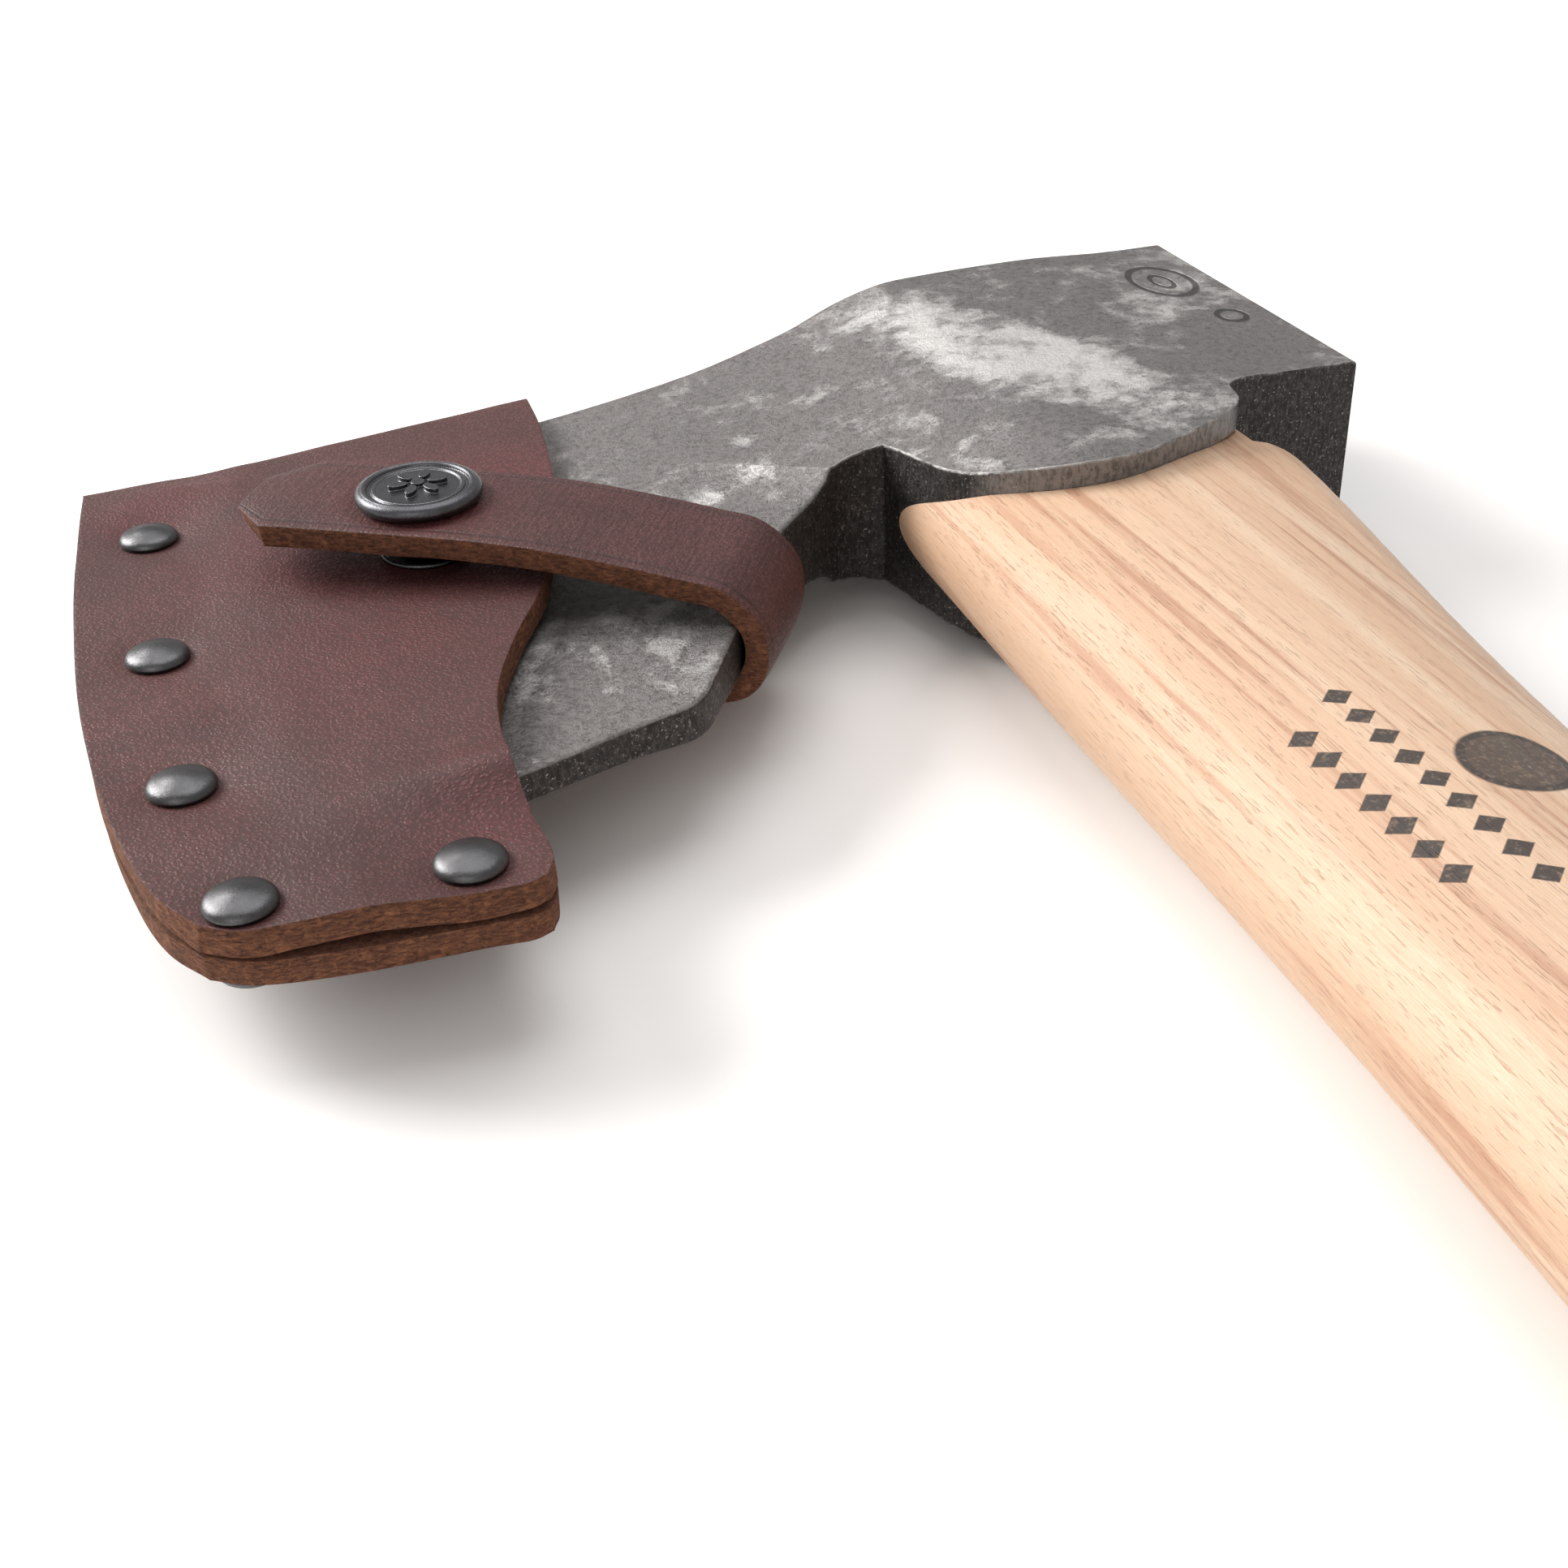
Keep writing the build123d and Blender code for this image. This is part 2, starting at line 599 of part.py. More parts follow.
with BuildPart() as blade_cover:
    add(cover_body.part)
    # rivet holes round the cutting edge
    with BuildSketch():
        with Locations(*RIVET_SPOTS):
            Circle(RIVET_POST + HOLE_FIT)
    extrude(amount=2 * MID, mode=Mode.SUBTRACT)
    # seats of the press stud, outside and inside the upper panel
    with BuildSketch(SNAP_AXIS.offset(SEAT_Z)):
        Circle(FLANGE_R + HOLE_FIT)
    extrude(amount=LEATHER, mode=Mode.SUBTRACT)
    with BuildSketch(SNAP_AXIS.offset(INNER_SEAT_Z + FLUSH_HEAD_T)):
        Circle(FLUSH_HEAD_R + HOLE_FIT)
    extrude(amount=-FLUSH_HEAD_T * 3, mode=Mode.SUBTRACT)
    with BuildSketch(SNAP_AXIS.offset(MID)):
        Circle(STUD_POST + HOLE_FIT)
    extrude(amount=CHEEK_HALF, mode=Mode.SUBTRACT)
    # holes and inner seats of the strap's rivets in the lower panel
    for rivet_plane in STRAP_RIVET_PLANES:
        with BuildSketch(rivet_plane):
            Circle(RIVET_POST + HOLE_FIT)
        extrude(amount=-2 * LEATHER, mode=Mode.SUBTRACT)
        with BuildSketch(rivet_plane.offset(FLUSH_HEAD_T - LEATHER)):
            Circle(FLUSH_HEAD_R + HOLE_FIT)
        extrude(amount=-LEATHER, mode=Mode.SUBTRACT)
blade_cover.part.label = "blade_cover"
export_step(blade_cover.part, "parts/blade_cover.step")


# ---------------------------------------------------------------- seam rivets
def dome_section(base_radius, rim, height, bore=0.0, bore_depth=0.0):
    """Half section of a low domed cap, drawn with its axis along local Y."""
    with BuildLine() as outline:
        shoulder = (base_radius, rim)
        top = (0, height)
        angle_point = (base_radius * 0.62, rim + (height - rim) * 0.70)
        Spline(top, angle_point, shoulder, tangents=((1, 0), (0.25, -1)))
        if bore > 0:
            Polyline(shoulder, (base_radius - 0.12, 0), (bore, 0), (bore, bore_depth), (0, bore_depth), top)
        else:
            Polyline(shoulder, (base_radius - 0.12, 0), (0, 0), top)
    return outline.line


cap_section = dome_section(RIVET_R, RIVET_RIM, RIVET_H, RIVET_POST + HOLE_FIT, RIVET_H - 0.7)
base_section = dome_section(RIVET_R, RIVET_RIM, RIVET_H)

with BuildPart() as seam_rivet_caps:
    for x, y in RIVET_SPOTS:
        section = Plane(origin=(x, y, MID + SEAM_HALF), x_dir=(1, 0, 0), z_dir=(0, -1, 0))
        with BuildSketch(section):
            with BuildLine():
                add(cap_section)
            make_face()
        revolve(axis=Axis((x, y, 0), (0, 0, 1)))
seam_rivet_caps.part.label = "seam_rivet_caps"
export_step(seam_rivet_caps.part, "parts/seam_rivet_caps.step")

with BuildPart() as seam_rivet_bases:
    for x, y in RIVET_SPOTS:
        section = Plane(origin=(x, y, MID - SEAM_HALF), x_dir=(1, 0, 0), z_dir=(0, 1, 0))
        with BuildSketch(section):
            with BuildLine():
                add(base_section)
            make_face()
        revolve(axis=Axis((x, y, 0), (0, 0, 1)))
        with BuildSketch(Plane(origin=(x, y, MID - SEAM_HALF), z_dir=(0, 0, 1))):
            Circle(RIVET_POST)
        extrude(amount=2 * SEAM_HALF + RIVET_H - 0.8)
seam_rivet_bases.part.label = "seam_rivet_bases"
export_step(seam_rivet_bases.part, "parts/seam_rivet_bases.step")


# ---------------------------------------------------------------- strap
ROOT = BEND_INNER - BEND_GAP           # where the straight legs start, measured from the throat
HALF_STRAP = STRAP_WIDTH / 2
back_centre = THROAT + STRAP_X * ROOT
BACK_TOP = MID - cover_half(back_centre.X) + BACK_RISE
BACK_LOW = BACK_TOP - LEATHER * math.sqrt(1 + BLADE_FALL ** 2)
BEND_TOP = FLAP_Z - FLAP_DROP
STRAP_SIDE = Plane(origin=THROAT, x_dir=STRAP_X, z_dir=-STRAP_PLANE.y_dir).offset(-HALF_STRAP)

with BuildPart() as strap_flap:
    with BuildSketch(STRAP_SIDE):
        with BuildLine():
            Spline((FLAP_LEVEL, FLAP_Z), (ROOT, BEND_TOP), tangents=((-1, 0), (-1, 0)))
            Line((ROOT, BEND_TOP), (ROOT, BEND_TOP + LEATHER))
            Spline((ROOT, BEND_TOP + LEATHER), (FLAP_LEVEL, FLAP_Z + LEATHER), tangents=((1, 0), (1, 0)))
            Polyline(
                (FLAP_LEVEL, FLAP_Z + LEATHER),
                (STRAP_REACH, FLAP_Z + LEATHER),
                (STRAP_REACH, FLAP_Z),
                (FLAP_LEVEL, FLAP_Z),
            )
        make_face()
    extrude(amount=STRAP_WIDTH)
    upright = strap_flap.edges().filter_by(Axis.Z)
    chamfer(upright.sort_by(Axis(THROAT, STRAP_X))[-2:], STRAP_TIP_CUT)
    with BuildSketch(SNAP_AXIS.offset(FLAP_Z - 1)):
        Circle(SNAP_POST + HOLE_FIT)
    extrude(amount=LEATHER + 2, mode=Mode.SUBTRACT)
strap_flap.part.label = "strap_flap"
export_step(strap_flap.part, "parts/strap_flap.step")

with BuildPart() as strap_bend:
    with BuildSketch(STRAP_SIDE):
        with BuildLine():
            outer = BEND_INNER + LEATHER
            out_x = ROOT - outer
            in_x = ROOT - BEND_INNER
            Line((ROOT, BEND_TOP + LEATHER), (ROOT, BEND_TOP))
            upper_in = RadiusArc((ROOT, BEND_TOP), (in_x, BEND_TOP - BEND_INNER), -BEND_INNER)
            inner_wall = Line(upper_in @ 1, (in_x, BACK_TOP + BEND_INNER))
            lower_in = RadiusArc(inner_wall @ 1, (ROOT, BACK_TOP), -BEND_INNER)
            Line(lower_in @ 1, (ROOT, BACK_LOW))
            lower_out = RadiusArc((ROOT, BACK_LOW), (out_x, BACK_LOW + outer), outer)
            outer_wall = Line(lower_out @ 1, (out_x, BEND_TOP + LEATHER - outer))
            RadiusArc(outer_wall @ 1, (ROOT, BEND_TOP + LEATHER), outer)
        make_face()
    extrude(amount=STRAP_WIDTH)
strap_bend.part.label = "strap_bend"
export_step(strap_bend.part, "parts/strap_bend.step")

with BuildPart() as strap_back:
    # lies on the lower panel and runs on to the bend
    back_plane = panel_plane(THROAT.X, THROAT.Y, -1)
    run = (STRAP_X - back_plane.z_dir * STRAP_X.dot(back_plane.z_dir)).normalized()
    across = run.cross(back_plane.z_dir)
    with BuildSketch(Plane(origin=back_plane.origin, x_dir=run, z_dir=across).offset(-HALF_STRAP)) as leaf:
        # local Y points away from the panel or into it, whichever the two directions give
        away = LEATHER if leaf.workplanes[0].y_dir.dot(back_plane.z_dir) > 0 else -LEATHER
        rise = -BACK_RISE * away / LEATHER
        with BuildLine():
            Spline((BACK_LEVEL, 0), (ROOT, rise), tangents=((-1, 0), (-1, 0)))
            Polyline((ROOT, rise), (ROOT - 3, rise), (ROOT - 3, rise + away), (ROOT, rise + away))
            Spline((ROOT, rise + away), (BACK_LEVEL, away), tangents=((1, 0), (1, 0)))
            Polyline((BACK_LEVEL, away), (BACK_REACH, away), (BACK_REACH, 0), (BACK_LEVEL, 0))
        make_face()
    extrude(amount=STRAP_WIDTH)
    ends = strap_back.edges().filter_by(Axis(THROAT, back_plane.z_dir))
    chamfer(ends.sort_by(Axis(THROAT, STRAP_X))[-2:], BACK_CUT)
    for rivet_plane in STRAP_RIVET_PLANES:
        with BuildSketch(rivet_plane):
            Circle(RIVET_POST + HOLE_FIT)
        extrude(amount=2 * LEATHER, mode=Mode.SUBTRACT)
    split(bisect_by=Plane(origin=back_centre, z_dir=STRAP_X), keep=Keep.TOP)
strap_back.part.label = "strap_back"
export_step(strap_back.part, "parts/strap_back.step")

with BuildPart() as strap_rivet_caps:
    for rivet_plane in STRAP_RIVET_PLANES:
        outside = rivet_plane.offset(LEATHER)
        with BuildSketch(Plane(origin=outside.origin, x_dir=outside.x_dir, z_dir=-outside.y_dir)):
            with BuildLine():
                add(cap_section)
            make_face()
        revolve(axis=Axis(outside.origin, outside.z_dir))
strap_rivet_caps.part.label = "strap_rivet_caps"
export_step(strap_rivet_caps.part, "parts/strap_rivet_caps.step")

with BuildPart() as strap_rivet_posts:
    for rivet_plane in STRAP_RIVET_PLANES:
        with BuildSketch(rivet_plane.offset(-LEATHER)):
            Circle(FLUSH_HEAD_R)
        extrude(amount=FLUSH_HEAD_T)
        with BuildSketch(rivet_plane.offset(-LEATHER)):
            Circle(RIVET_POST)
        extrude(amount=2 * LEATHER + RIVET_H - 0.8)
strap_rivet_posts.part.label = "strap_rivet_posts"
export_step(strap_rivet_posts.part, "parts/strap_rivet_posts.step")


# ---------------------------------------------------------------- press stud on the cover
with BuildPart() as snap_stud:
    with BuildSketch(SNAP_SECTION):
        with BuildLine():
            rim_top = Line((STUD_POST + HOLE_FIT, SEAT_Z), (FLANGE_R - 0.2, SEAT_Z))
            lip = ThreePointArc(rim_top @ 1, (FLANGE_R, SEAT_Z + FLANGE_T / 2), (FLANGE_R - 0.3, STUD_BASE))
            web = Polyline(
                lip @ 1,
                (STUD_NECK + 0.5, STUD_BASE - 0.1),
                (STUD_NECK, STUD_BASE + 0.3),
                (STUD_NECK, STUD_BASE + 0.6),
            )
            bead = ThreePointArc(
                web @ 1,
                (STUD_HEAD, STUD_BASE + 1.05),
                (STUD_HEAD - 0.8, STUD_BASE + STUD_H),
            )
            Polyline(
                bead @ 1,
                (0, STUD_BASE + STUD_H),
                (0, STUD_BASE + STUD_H - 0.4),
                (STUD_POST + HOLE_FIT, STUD_BASE + STUD_H - 0.4),
                rim_top @ 0,
            )
        make_face()
    revolve(axis=Axis((SNAP_X, SNAP_Y, 0), (0, 0, 1)))
snap_stud.part.label = "snap_stud"
export_step(snap_stud.part, "parts/snap_stud.step")

with BuildPart() as snap_stud_post:
    with BuildSketch(SNAP_AXIS.offset(INNER_SEAT_Z)):
        Circle(FLUSH_HEAD_R)
    extrude(amount=FLUSH_HEAD_T)
    with BuildSketch(SNAP_AXIS.offset(INNER_SEAT_Z)):
        Circle(STUD_POST)
    extrude(amount=STUD_BASE + STUD_H - 0.5 - INNER_SEAT_Z)
snap_stud_post.part.label = "snap_stud_post"
export_step(snap_stud_post.part, "parts/snap_stud_post.step")


# ---------------------------------------------------------------- snap cap, socket and spring on the flap
SOCKET_ROOF = FLAP_Z - 0.55
CAP_Z = FLAP_Z + LEATHER
SPRING_Z = STUD_BASE + 0.95
SPRING_R = STUD_HEAD + SPRING_WIRE + 0.38

with BuildPart() as snap_cap:
    with BuildSketch(SNAP_SECTION):
        with BuildLine():
            under = Line((0, CAP_Z), (SNAP_CAP_R - 0.5, CAP_Z))
            roll = ThreePointArc(
                under @ 1,
                (SNAP_CAP_R, CAP_Z + 0.8),
                (SNAP_CAP_R - 0.75, CAP_Z + SNAP_CAP_H * 0.82),
            )
            rim_crest = ThreePointArc(
                roll @ 1,
                (SNAP_CAP_R - 1.15, CAP_Z + SNAP_CAP_H * 0.86),
                (SNAP_CAP_R - 1.5, CAP_Z + SNAP_CAP_H * 0.66),
            )
            field = Polyline(
                rim_crest @ 1,
                (SNAP_CAP_R - 1.9, CAP_Z + SNAP_CAP_H * 0.66),
                (SNAP_CAP_R - 2.1, CAP_Z + SNAP_CAP_H * 0.76),
                (SNAP_CAP_R - 2.4, CAP_Z + SNAP_CAP_H * 0.76),
                (SNAP_CAP_R - 2.6, CAP_Z + SNAP_CAP_H * 0.68),
            )
            Spline(field @ 1, (0, CAP_Z + SNAP_CAP_H * 0.80), tangents=((-1, 0.06), (-1, 0)))
            Line((0, CAP_Z + SNAP_CAP_H * 0.80), (0, CAP_Z))
        make_face()
    revolve(axis=Axis((SNAP_X, SNAP_Y, 0), (0, 0, 1)))
    # a plain embossed rosette
    with BuildSketch(SNAP_AXIS.offset(CAP_Z + SNAP_CAP_H * 0.6)):
        Circle(0.8)
        with PolarLocations(2.35, 6):
            Ellipse(1.15, 0.6)
    extrude(amount=SNAP_CAP_H * 0.4)
    # the post through the strap, spread inside the socket
    with BuildSketch(SNAP_AXIS.offset(CAP_Z)):
        Circle(SNAP_POST)
    extrude(amount=SOCKET_ROOF - 0.35 - CAP_Z)
    with BuildSketch(SNAP_AXIS.offset(SOCKET_ROOF)):
        Circle(SNAP_POST + 0.8)
    extrude(amount=-0.35)
snap_cap.part.label = "snap_cap"
export_step(snap_cap.part, "parts/snap_cap.step")

with BuildPart() as snap_socket:
    with BuildSketch(SNAP_SECTION):
        with BuildLine():
            Polyline(
                (SNAP_POST + HOLE_FIT, SOCKET_ROOF),
                (SOCKET_BORE, SOCKET_ROOF),
                (SOCKET_BORE, SPRING_Z + 0.4),
                (SPRING_R + SPRING_WIRE + 0.1, SPRING_Z + 0.4),
                (SPRING_R + SPRING_WIRE + 0.1, SPRING_Z - 0.3),
                (SOCKET_BORE, SPRING_Z - 0.3),
                (SOCKET_BORE, SOCKET_LOW),
                (SOCKET_R - 1.2, SOCKET_LOW),
                (SOCKET_R - 0.6, SOCKET_LOW + 0.8),
                (SOCKET_R, FLAP_Z - 0.7),
                (SOCKET_R, FLAP_Z),
                (SNAP_POST + HOLE_FIT, FLAP_Z),
                close=True,
            )
        make_face()
    revolve(axis=Axis((SNAP_X, SNAP_Y, 0), (0, 0, 1)))
snap_socket.part.label = "snap_socket"
export_step(snap_socket.part, "parts/snap_socket.step")

with BuildPart() as snap_spring:
    with BuildSketch(SNAP_SECTION):
        with Locations((SPRING_R, SPRING_Z)):
            Circle(SPRING_WIRE)
    revolve(axis=Axis((SNAP_X, SNAP_Y, 0), (0, 0, 1)))
snap_spring.part.label = "snap_spring"
export_step(snap_spring.part, "parts/snap_spring.step")
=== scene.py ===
# %% [markdown]
# A hatchet lying on its side, with a riveted leather cover buttoned over its blade.
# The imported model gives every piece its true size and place, so the frame is loaded first and nothing is
# fitted by eye. Loading leaves the frame's pieces selected, and an operator works on all that is selected,
# so they are deselected at once.

# %% Load the frame
import json
import math

import bpy
import numpy as np
from mathutils import Matrix, Vector, noise


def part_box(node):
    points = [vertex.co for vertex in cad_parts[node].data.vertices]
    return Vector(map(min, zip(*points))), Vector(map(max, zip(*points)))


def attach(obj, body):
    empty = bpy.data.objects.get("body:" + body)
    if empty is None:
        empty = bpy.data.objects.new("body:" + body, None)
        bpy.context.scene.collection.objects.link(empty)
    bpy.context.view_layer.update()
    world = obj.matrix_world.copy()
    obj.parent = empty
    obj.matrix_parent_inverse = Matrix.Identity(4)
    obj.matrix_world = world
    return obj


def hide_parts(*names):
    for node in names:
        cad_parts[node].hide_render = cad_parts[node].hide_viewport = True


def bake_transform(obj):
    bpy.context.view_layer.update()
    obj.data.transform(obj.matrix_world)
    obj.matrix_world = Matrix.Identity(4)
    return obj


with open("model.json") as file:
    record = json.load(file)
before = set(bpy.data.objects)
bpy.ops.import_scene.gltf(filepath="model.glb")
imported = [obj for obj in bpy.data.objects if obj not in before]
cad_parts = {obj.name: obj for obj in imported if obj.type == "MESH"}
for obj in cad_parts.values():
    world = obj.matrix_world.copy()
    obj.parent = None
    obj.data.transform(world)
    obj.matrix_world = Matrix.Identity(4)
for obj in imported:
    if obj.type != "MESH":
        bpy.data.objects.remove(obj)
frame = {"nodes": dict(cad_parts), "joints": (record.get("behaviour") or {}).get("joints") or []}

bpy.ops.object.select_all(action="DESELECT")
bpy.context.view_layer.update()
nodes = frame["nodes"]
MM = 0.001


# %% [markdown]
# The camera looks down at about 32 degrees over the front of the handle, with a long-ish lens and a slight
# tilt of the horizon. It is turned round Z, then X, then its own axis, in the order in which a tripod head
# is set.

# %% Camera
CAMERA_PLACE = Vector((-108.9, -232.2, 123.3)) * MM
CAMERA_LENS = 46.3
CAMERA_AZIMUTH = math.radians(-18.0)
CAMERA_TILT = math.radians(90 - 32.33)
CAMERA_ROLL = math.radians(-2.149)

bpy.ops.object.camera_add(location=CAMERA_PLACE)
camera = bpy.context.object
camera.name = "camera"
turn = Matrix.Rotation(CAMERA_AZIMUTH, 4, "Z") @ Matrix.Rotation(CAMERA_TILT, 4, "X")
camera.matrix_world = Matrix.Translation(CAMERA_PLACE) @ turn @ Matrix.Rotation(CAMERA_ROLL, 4, "Z")
camera.data.lens = CAMERA_LENS
camera.data.sensor_width = 36.0
camera.data.clip_start = 0.01
camera.data.dof.use_dof = False
bpy.context.scene.camera = camera
print("camera at", tuple(round(v, 3) for v in camera.location))


# %% [markdown]
# The light is that of a bright, plain studio: a white room all round, one wide soft lamp behind and to the
# left that rakes over the leather and the steel, one overhead and a weak one in front. A wide lamp close by
# gives soft shadows. The plain colour view keeps the pale floor pale.

# %% Light and floor
world = bpy.data.worlds.new("white_room")
bpy.context.scene.world = world
world.use_nodes = True
world.node_tree.nodes["Background"].inputs["Color"].default_value = (1.0, 0.985, 0.97, 1)
world.node_tree.nodes["Background"].inputs["Strength"].default_value = 0.50
bpy.context.scene.view_settings.view_transform = "Standard"


def soft_lamp(name, place, aim, size, watts, colour):
    """A square area lamp at place that points at aim, both in millimetres."""
    bpy.ops.object.light_add(type="AREA", location=Vector(place) * MM)
    lamp = bpy.context.object
    lamp.name = name
    lamp.data.shape = "SQUARE"
    lamp.data.size = size * MM
    lamp.data.energy = watts
    lamp.data.color = colour
    lamp.rotation_euler = (Vector(aim) - Vector(place)).to_track_quat("-Z", "Y").to_euler()


soft_lamp("window", (-640, 520, 520), (-30, -20, 0), 520, 13.0, (1.0, 0.985, 0.96))
soft_lamp("ceiling", (60, 240, 900), (0, -40, 0), 700, 4.0, (1.0, 1.0, 1.0))
soft_lamp("front", (-420, -620, 420), (-60, -40, 10), 500, 1.0, (1.0, 0.97, 0.94))

bpy.ops.mesh.primitive_plane_add(size=8.0, location=(0, 0, -0.0003))
floor = bpy.context.object
floor.name = "floor"


# %% [markdown]
# Every finish below is a small network of nodes. Wiring them by hand is slow to read, so a board object keeps
# one tree and offers the few moves used again and again: noise, a soft step, a mix of two colours and sums.
# All patterns start from millimetres, so that a grain of half a millimetre is written as such.

# %% A board for node trees
class Board:
    """Places nodes in one tree and wires them. A value may be a socket, a number or a colour."""

    def __init__(self, tree):
        self.tree = tree
        self.count = 0

    def put(self, kind, **settings):
        node = self.tree.nodes.new(kind)
        node.location = (200 * (self.count % 9) - 1800, 260 * (self.count // 9))
        self.count += 1
        for key, value in settings.items():
            setattr(node, key, value)
        return node

    def feed(self, socket, value):
        if isinstance(value, bpy.types.NodeSocket):
            self.tree.links.new(value, socket)
        elif socket.type == "RGBA":
            socket.default_value = (*value, 1.0) if len(value) == 3 else value
        else:
            socket.default_value = value

    def sum(self, operation, a, b=0.0, c=0.0, clamp=False):
        node = self.put("ShaderNodeMath", operation=operation, use_clamp=clamp)
        for socket, value in zip(node.inputs, (a, b, c)):
            self.feed(socket, value)
        return node.outputs[0]

    def step(self, value, low, high, out_low=0.0, out_high=1.0):
        """A soft step: out_low below low, out_high above high."""
        node = self.put("ShaderNodeMapRange", interpolation_type="SMOOTHSTEP")
        for socket, number in zip(node.inputs, (value, low, high, out_low, out_high)):
            self.feed(socket, number)
        return node.outputs[0]

    def mix(self, share, a, b, blend="MIX"):
        node = self.put("ShaderNodeMix", data_type="RGBA", blend_type=blend)
        self.feed(node.inputs[0], share)
        self.feed(node.inputs[6], a)
        self.feed(node.inputs[7], b)
        return node.outputs[2]

    def noise(self, vector, scale, detail=4.0, rough=0.55, twist=0.0):
        node = self.put("ShaderNodeTexNoise")
        self.feed(node.inputs["Vector"], vector)
        for key, value in (("Scale", scale), ("Detail", detail), ("Roughness", rough), ("Distortion", twist)):
            self.feed(node.inputs[key], value)
        return node.outputs["Fac"]

    def cells(self, vector, scale, feature="F1", smooth=None, output="Distance"):
        node = self.put("ShaderNodeTexVoronoi", feature=feature)
        self.feed(node.inputs["Vector"], vector)
        self.feed(node.inputs["Scale"], scale)
        if smooth is not None:
            self.feed(node.inputs["Smoothness"], smooth)
        return node.outputs[output]

    def stretch(self, vector, scale, turn=(0, 0, 0), move=(0, 0, 0)):
        node = self.put("ShaderNodeMapping", vector_type="TEXTURE" if turn != (0, 0, 0) else "POINT")
        self.feed(node.inputs["Vector"], vector)
        if turn != (0, 0, 0):
            node.inputs["Rotation"].default_value = turn
            node.inputs["Location"].default_value = move
            vector = node.outputs[0]
            node = self.put("ShaderNodeMapping")
            self.feed(node.inputs["Vector"], vector)
            node.inputs["Scale"].default_value = scale
            return node.outputs[0]
        node.inputs["Scale"].default_value = scale
        node.inputs["Location"].default_value = move
        return node.outputs[0]

    def split(self, vector):
        node = self.put("ShaderNodeSeparateXYZ")
        self.feed(node.inputs[0], vector)
        return node.outputs

    def millimetres(self):
        """Object coordinates in millimetres."""
        place = self.put("ShaderNodeTexCoord")
        return self.stretch(place.outputs["Object"], (1000, 1000, 1000))

    def use(self, group, **values):
        """Places a node group and sets or wires its inputs by name."""
        node = self.put("ShaderNodeGroup", node_tree=group)
        for key, value in values.items():
            self.feed(node.inputs[key], value)
        return node.outputs

    def bump(self, height, depth, normal=None):
        """A normal from a height of 0 to 1 that stands for depth millimetres."""
        node = self.put("ShaderNodeBump")
        node.inputs["Strength"].default_value = 1.0
        node.inputs["Distance"].default_value = depth * MM
        self.feed(node.inputs["Height"], height)
        if normal is not None:
            self.feed(node.inputs["Normal"], normal)
        return node.outputs[0]


def new_group(name, inputs, outputs):
    """An empty shader node group with named sockets, and the board, inputs and outputs to fill it with."""
    tree = bpy.data.node_groups.new(name, "ShaderNodeTree")
    for label, kind, value in inputs:
        socket = tree.interface.new_socket(name=label, in_out="INPUT", socket_type="NodeSocket" + kind)
        if value is not None:
            socket.default_value = value
    for label, kind in outputs:
        tree.interface.new_socket(name=label, in_out="OUTPUT", socket_type="NodeSocket" + kind)
    board = Board(tree)
    return tree, board, board.put("NodeGroupInput").outputs, board.put("NodeGroupOutput").inputs


def new_finish(name, roughness=0.5, metallic=0.0, specular=0.5, coat=0.0, coat_roughness=0.2):
    """A material, its board and its shader's inputs, with the values that are the same all over."""
    material = bpy.data.materials.new(name)
    material.use_nodes = True
    board = Board(material.node_tree)
    shader = material.node_tree.nodes["Principled BSDF"]
    shader.inputs["Roughness"].default_value = roughness
    shader.inputs["Metallic"].default_value = metallic
    shader.inputs["Specular IOR Level"].default_value = specular
    shader.inputs["Coat Weight"].default_value = coat
    shader.inputs["Coat Roughness"].default_value = coat_roughness
    return material, board, shader.inputs


def dress(piece, *materials):
    """Gives a piece its materials, through its own slots, so that a CAD node's mesh stays as it is."""
    while len(piece.material_slots) < len(materials):
        piece.data.materials.append(None)
    for number, material in enumerate(materials):
        piece.material_slots[number].link = "OBJECT"
        piece.material_slots[number].material = material


print("board ready")


# %% [markdown]
# Scratches, pits and blotches show on the forged head, on the caps and on the stud alike. One group makes
# them from the same recipe: large blotches, fine pits and hairline scratches that run one way.

# %% Group: metal wear
metal_wear, b, given, gives = new_group(
    "metal_wear",
    [("Vector", "Vector", None), ("Blotch", "Float", 0.1), ("Pit", "Float", 1.5), ("Scratch", "Float", 2.0)],
    [("Blotches", "Float"), ("Pits", "Float"), ("Scratches", "Float")],
)
blotch = b.noise(given["Vector"], given["Blotch"], 9.0, 0.62, 0.35)
b.feed(gives["Blotches"], b.step(blotch, 0.36, 0.64))
pit = b.noise(given["Vector"], given["Pit"], 6.0, 0.72)
b.feed(gives["Pits"], b.step(pit, 0.34, 0.62))
hair = b.noise(b.stretch(given["Vector"], (0.12, 2.4, 1.4)), given["Scratch"], 3.0, 0.6)
b.feed(gives["Scratches"], b.step(hair, 0.60, 0.72))
print("group", metal_wear.name, "has", len(metal_wear.nodes), "nodes")


# %% [markdown]
# A soft round patch is the simplest way to say where something is worn or marked: it is 1 at its middle and
# fades to 0 at its rim. The head's polished cheek, its bare spots and the stamps all start from it.

